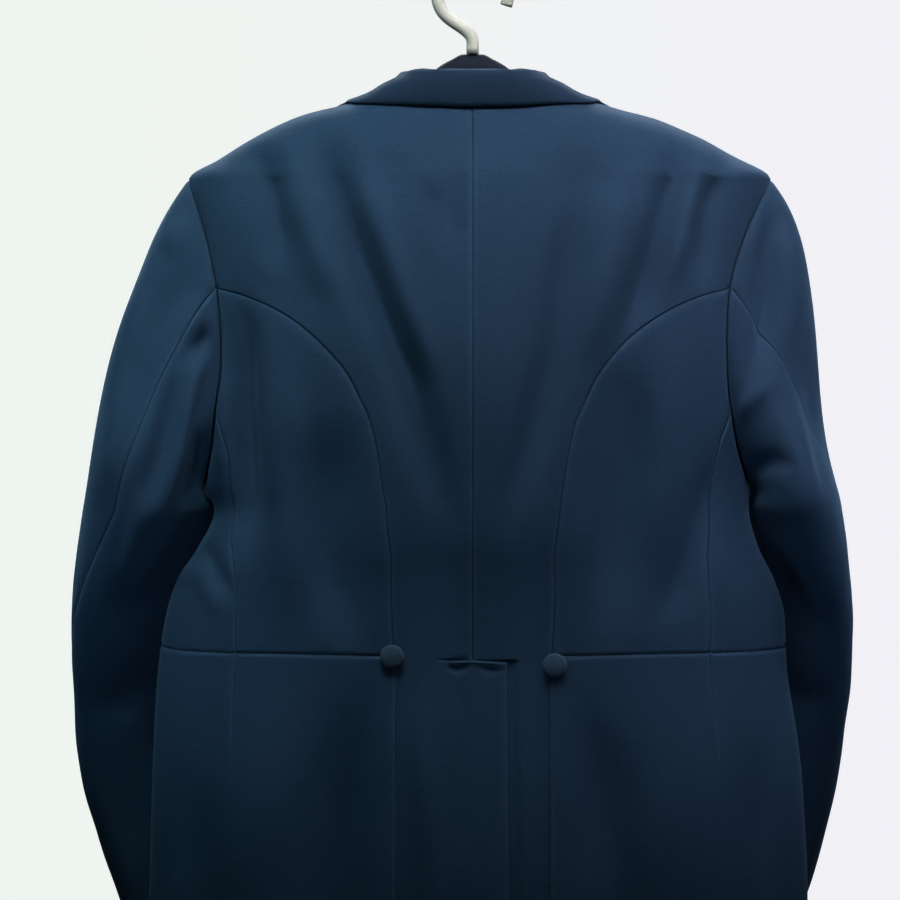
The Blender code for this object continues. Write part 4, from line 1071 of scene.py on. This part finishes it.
def add_hanger(look):
    rows = list(HANGER_HUMP)
    for x in HANGER_ARM_XS:
        slope = (ridge_top(x + 0.004) - ridge_top(x - 0.004)) / 0.008
        top = ridge_top(x) - HANGER_CLEAR * math.hypot(1, slope)
        share = (x - HANGER_ARM_XS[0]) / (HANGER_ARM_XS[-1] - HANGER_ARM_XS[0])
        deep = HANGER_HALF_DEPTHS[0] + (HANGER_HALF_DEPTHS[1] - HANGER_HALF_DEPTHS[0]) * share
        rows.append(HangerRow(x, top, HANGER_HALF_HEIGHT, deep))
    end_top = top - HANGER_HALF_HEIGHT + HANGER_END_HALF - HANGER_END_DROP
    rows.append(HangerRow(HANGER_END_X, end_top, HANGER_END_HALF, HANGER_END_HALF))
    hump_x = HANGER_HUMP[-1].x
    xs = np.concatenate([np.linspace(0, hump_x, 22), np.linspace(hump_x, HANGER_END_X, 50)[1:]])
    rings = []
    for x in np.concatenate([-xs[:0:-1], xs]):
        top, high, deep = (float(between(rows, name, abs(x), "x")) for name in HangerRow._fields[1:])
        ring = [(x, deep * math.sin(a), top - high + high * math.cos(a)) for a in full_turn(40)]
        rings.append(ring[::-1])
    add_tube("hanger_shell", "hanger", rings, look)


def add_hook(look):
    def on_round(degrees):
        angle = np.radians(degrees)
        return HOOK_RADIUS * np.stack([np.cos(angle), np.sin(angle)], -1) + [0, ROD - HOOK_RADIUS]

    start, bend = math.radians(HOOK_BEND_AT), on_round(HOOK_BEND_AT)
    foot, stem = np.array([0.0, HOOK_STEM_BOTTOM]), np.array([0.0, HOOK_STEM_TOP])
    leave = stem + [0, HOOK_STEM_REACH]
    arrive = bend + HOOK_ROUND_REACH * np.array([-math.sin(start), math.cos(start)])
    s = np.linspace(0, 1, 13)[1:-1, None]
    curve = (1 - s) ** 3 * stem + 3 * (1 - s) ** 2 * s * leave + 3 * (1 - s) * s**2 * arrive + s**3 * bend
    arc = on_round(np.linspace(HOOK_BEND_AT, HOOK_TIP_AT, 56))
    path = np.concatenate([[foot, (foot + stem) / 2, stem], curve, arc])
    along = unit(np.gradient(path, axis=0))
    along[0] = (0, 1)
    rings = []
    for (x, z), (dx, dz) in zip(path, along):
        ring = [(ROD * math.cos(a), ROD * math.sin(a)) for a in full_turn(28)]
        rings.append([(x + wide * dz, -deep, z - wide * dx) for wide, deep in ring][::-1])
    add_tube("hook_rod", "hook", rings, look)


# Materials

class Nodes:
    """Short names for adding and linking shader nodes."""

    def __init__(self, name):
        self.material = bpy.data.materials.new(name)
        self.material.use_nodes = True
        self.tree = self.material.node_tree
        self.shader = self.tree.nodes["Principled BSDF"]

    def feed(self, socket, value):
        if hasattr(value, "is_output"):
            self.tree.links.new(value, socket)
        else:
            socket.default_value = value

    def add(self, kind, values=(), **settings):
        node = self.tree.nodes.new(kind)
        for key, value in settings.items():
            setattr(node, key, value)
        for key, value in dict(values).items():
            self.feed(node.inputs[key], value)
        return node

    def math(self, operation, *values, clamp=False):
        node = self.add("ShaderNodeMath", enumerate(values), operation=operation, use_clamp=clamp)
        return node.outputs[0]

    def plus(self, a, b, clamp=False):
        return self.math("ADD", a, b, clamp=clamp)

    def times(self, a, b):
        return self.math("MULTIPLY", a, b)

    def map(self, value, low, high, to_low=0.0, to_high=1.0):
        values = {0: value, 1: low, 2: high, 3: to_low, 4: to_high}
        return self.add("ShaderNodeMapRange", values).outputs[0]

    def mix(self, factor, a, b):
        return self.add("ShaderNodeMix", {0: factor, 6: a, 7: b}, data_type="RGBA").outputs[2]

    def noise(self, source, scale, detail=2.0, rough=0.5):
        place = self.add("ShaderNodeMapping", {"Vector": source, "Scale": scale}).outputs[0]
        values = {"Vector": place, "Scale": 1.0, "Detail": detail, "Roughness": rough}
        return self.add("ShaderNodeTexNoise", values).outputs["Fac"]

    def bump(self, strength, distance, height):
        values = {"Strength": strength, "Distance": distance, "Height": height}
        return self.add("ShaderNodeBump", values).outputs[0]

    def set(self, **values):
        for key, value in values.items():
            self.feed(self.shader.inputs[key.replace("_", " ")], value)


def wool_look(name, dark, light, twist=1.0, rib=0.0011, rib_shade=0.22, relief=0.00022, seam_shade=0.85):
    """Fine wool with a level rib, slubs along the weft, slow mottling of tone, pressed edges and a soft nap;
    beside the edges rubbed wear with a painted highlight, in the seams a painted dark line of shade.
    """
    nodes = Nodes(name)
    uv = nodes.add("ShaderNodeUVMap", uv_map="cloth").outputs[0]
    split = nodes.add("ShaderNodeSeparateXYZ", {0: uv})
    u, v = split.outputs[0], split.outputs[1]
    slant = nodes.times(u, twist * 2 * math.pi / (rib * 2.2))
    wobble = nodes.times(nodes.noise(uv, (60, 60, 1), 3.0), 5.0)
    turn = nodes.plus(nodes.plus(nodes.times(v, 2 * math.pi / rib), slant), wobble)
    ribs = nodes.math("MULTIPLY_ADD", nodes.math("SINE", turn), 0.5, 0.5)
    cross = nodes.math("SINE", nodes.times(u, 2 * math.pi / (rib * 0.8)))
    slubs = nodes.noise(uv, (260, 2000, 1), 3.0, 0.6)
    long_slubs = nodes.noise(uv, (60, 900, 1), 2.0, 0.6)
    fuzz = nodes.noise(uv, (2600, 2600, 1), 2.0, 0.7)
    slow = nodes.noise(uv, (9, 6, 1), 3.0, 0.55)
    tone = nodes.map(nodes.plus(nodes.times(slubs, 0.68), nodes.times(long_slubs, 0.32)), 0.36, 0.66)
    tone = nodes.plus(nodes.times(tone, 0.62), nodes.times(ribs, rib_shade))
    tone = nodes.plus(tone, nodes.times(slow, 0.30), clamp=True)
    colour = nodes.mix(tone, (*dark, 1), (*light, 1))
    edge = nodes.add("ShaderNodeAttribute", attribute_name="edge").outputs["Fac"]
    # Beside the edges the cloth is lightened, partly as rubbed wear and partly as a painted highlight along
    # the pressed seams and edges.
    wear_and_highlight = nodes.times(nodes.map(edge, 0.15, 0.75, 0.0, 0.42), nodes.noise(uv, (240, 240, 1)))
    colour = nodes.mix(wear_and_highlight, colour, (light[0] * 1.9, light[1] * 1.8, light[2] * 1.6, 1))
    # Painted shade: a near-black line is painted in the seams and along the edges where shade falls in the
    # groove between the panels.
    painted_seam_shade = nodes.map(edge, 0.945, 0.995, 0.0, seam_shade)
    colour = nodes.mix(painted_seam_shade, colour, (*[part * 0.1 for part in dark], 1))
    dots = nodes.add("ShaderNodeTexVoronoi", {"Vector": uv, "Scale": 24.0}, feature="F1").outputs
    lint = nodes.math("LESS_THAN", dots["Distance"], 0.012)
    chance = nodes.add("ShaderNodeSeparateColor", {0: dots["Color"]}).outputs[0]
    lint = nodes.times(lint, nodes.math("GREATER_THAN", chance, 0.955))
    colour = nodes.mix(lint, colour, (0.16, 0.18, 0.20, 1))
    height = nodes.plus(nodes.times(ribs, 0.55), nodes.times(slubs, 0.7))
    height = nodes.plus(height, nodes.times(nodes.times(cross, ribs), 0.16))
    height = nodes.plus(height, nodes.times(fuzz, 0.25))
    bump = nodes.bump(0.5, relief, height)
    nodes.set(Base_Color=colour, Roughness=nodes.map(slubs, 0.3, 0.7, 0.74, 0.92), Normal=bump)
    nodes.set(Sheen_Weight=0.14, Sheen_Roughness=0.42, Sheen_Tint=(0.30, 0.62, 1.0, 1))
    nodes.set(Specular_IOR_Level=0.12)
    return nodes.material


def plastic_look(name, colour, rough, gloss):
    nodes = Nodes(name)
    place = nodes.add("ShaderNodeTexCoord").outputs["Object"]
    speckle = nodes.noise(place, (260, 260, 260), 3.0, 0.6)
    shade = nodes.plus(nodes.times(speckle, 0.4), nodes.times(nodes.noise(place, (18, 18, 18)), 0.6))
    low, high = (*[c * 0.86 for c in colour], 1), (*[min(c * 1.12, 1) for c in colour], 1)
    bump = nodes.bump(0.25, 0.0001, speckle)
    roughness = nodes.map(speckle, 0.3, 0.7, rough - 0.06, rough + 0.08)
    nodes.set(Base_Color=nodes.mix(shade, low, high), Roughness=roughness, Normal=bump)
    nodes.set(Specular_IOR_Level=gloss)
    return nodes.material


def stage_look(name, left, right):
    """Pale paper lit from within, a little greener on the left and more violet on the right."""
    nodes = Nodes(name)
    place = nodes.add("ShaderNodeTexCoord").outputs["Object"]
    x = nodes.add("ShaderNodeSeparateXYZ", {0: place}).outputs[0]
    share = nodes.map(x, -ROOM_TINT_REACH, ROOM_TINT_REACH)
    nodes.set(Base_Color=(0.3, 0.3, 0.3, 1), Roughness=0.95, Specular_IOR_Level=0.0)
    nodes.set(Emission_Color=nodes.mix(share, (*left, 1), (*right, 1)), Emission_Strength=1.0)
    return nodes.material


# Stage, light and camera

def add_stage():
    """A pale floor and pale walls all round, so that every view has the same plain ground."""
    look = stage_look("pale_paper", (0.845, 0.910, 0.850), (0.885, 0.862, 0.925))
    r, low, high = ROOM_HALF, FLOOR_Z, ROOM_TOP
    corners = [(-r, -r), (r, -r), (r, r), (-r, r)]
    floor = np.array([(x, y, low) for x, y in corners])
    walls = np.array([(x, y, low) for x, y in corners] + [(x, y, high) for x, y in corners])
    sides = [[k, k + 4, (k + 1) % 4 + 4, (k + 1) % 4] for k in range(4)]
    for name, points, faces in (("backdrop", walls, sides), ("floor", floor, [[0, 1, 2, 3]])):
        piece = add_mesh(name, points, np.array(faces), smooth_faces=False)
        piece.data.materials.append(look)
        piece.visible_diffuse = False
        piece.visible_glossy = False


Lamp = namedtuple("Lamp", "name place target size spread power colour")
LAMPS = table(
    Lamp,
    ("curtain_left", (-0.28, -0.80, 0.72), (-0.28, -0.05, -0.26), (0.56, 0.2), 28, 0.58, (0.80, 1.0, 0.98)),
    ("curtain_right", (0.28, -0.80, 0.72), (0.28, -0.05, -0.26), (0.56, 0.2), 28, 0.64, (1.0, 0.92, 1.0)),
    ("ceiling", (0.0, -0.36, 0.42), (0, -0.20, -0.50), (1.3, 0.16), 180, 3.9, (1.0, 1.0, 1.0)),
    ("left_high", (-0.90, -0.42, 0.45), (0, -0.05, -0.30), (0.3, 0.3), 180, 1.2, (0.50, 1.0, 0.98)),
    ("right_high", (0.90, -0.42, 0.45), (0, -0.05, -0.30), (0.3, 0.3), 180, 3.6, (1.0, 0.92, 1.0)),
    ("elbow_left", (-0.62, -1.20, -0.50), (-0.29, -0.02, -0.47), (0.3, 0.3), 16, 0.075, (0.62, 0.82, 1.0)),
    ("elbow_right", (0.62, -1.20, -0.50), (0.26, -0.02, -0.47), (0.3, 0.3), 16, 0.065, (0.70, 0.78, 1.0)),
    ("room", (0.0, -3.2, 0.2), (0, 0, -0.5), (2.0, 2.0), 180, 0.8, (0.95, 0.98, 1.0)),
    ("front_curtain", (0.0, 0.85, 0.80), (0, 0.05, -0.34), (1.1, 0.2), 44, 2.4, (0.95, 0.98, 1.0)),
    ("front_high", (0.8, 1.6, 1.5), (0, 0, -0.5), (0.8, 0.8), 180, 13, (1.0, 0.96, 1.0)),
    ("front_low", (-1.0, 2.2, 1.3), (0, 0, -0.6), (0.9, 0.9), 180, 13, (0.90, 0.98, 1.0)),
)


def aim(piece, target):
    away = np.array(piece.location) - np.array(target)
    tilt, turn = math.acos(away[2] / np.linalg.norm(away)), math.atan2(away[1], away[0])
    piece.rotation_euler = (tilt, 0, turn + math.pi / 2)


def add_lights():
    for lamp in LAMPS:
        light = bpy.data.lights.new(lamp.name, "AREA")
        light.shape = "RECTANGLE"
        light.size, light.size_y = lamp.size
        light.spread = math.radians(lamp.spread)
        light.energy = lamp.power
        light.color = lamp.colour
        piece = bpy.data.objects.new(lamp.name, light)
        piece.location = lamp.place
        aim(piece, lamp.target)
        bpy.context.scene.collection.objects.link(piece)
    world = bpy.data.worlds.new("studio")
    world.use_nodes = True
    background = world.node_tree.nodes["Background"].inputs
    background["Color"].default_value = (0.92, 0.96, 1.0, 1)
    background["Strength"].default_value = 0.02
    bpy.context.scene.world = world


def add_camera():
    data = bpy.data.cameras.new("camera")
    data.sensor_width = SENSOR
    data.lens = SENSOR * CAMERA_AWAY / FRAME_WIDTH
    camera = bpy.data.objects.new("camera", data)
    camera.location = (FRAME_MIDDLE[0], COAT_BACK_Y - CAMERA_AWAY, FRAME_MIDDLE[1])
    camera.rotation_euler = (math.pi / 2, 0, 0)
    bpy.context.scene.collection.objects.link(camera)
    bpy.context.scene.camera = camera
    bpy.context.scene.view_settings.view_transform = "Standard"


def main():
    dark, light = (0.0065, 0.019, 0.040), (0.019, 0.050, 0.098)
    wool = wool_look("wool", dark, light)
    sleeve_wool = wool_look("sleeve_wool", dark, light, twist=-1.0)
    low, high = (0.0045, 0.012, 0.026), (0.012, 0.032, 0.066)
    collar_wool = wool_look("collar_wool", low, high, twist=0.6, seam_shade=0.0)
    coarse = {"twist": 2.2, "rib": 0.0015, "rib_shade": 0.75, "relief": 0.0007, "seam_shade": 0.0}
    button_wool = wool_look("button_wool", dark, (0.036, 0.068, 0.108), **coarse)
    hanger = plastic_look("hanger_plastic", (0.003, 0.008, 0.018), 0.62, gloss=0.12)
    hook = plastic_look("hook_plastic", (0.66, 0.66, 0.57), 0.38, gloss=0.4)
    add_camera()
    add_lights()
    add_stage()
    add_hanger(hanger)
    add_hook(hook)
    for side in SIDES:
        for add in (add_back, add_side_body, add_front, add_skirt):
            add(side, wool)
        add_lapel(side, collar_wool)
        add_sleeve(side, sleeve_wool)
    add_collar(collar_wool)
    add_buttons(button_wool)


main()
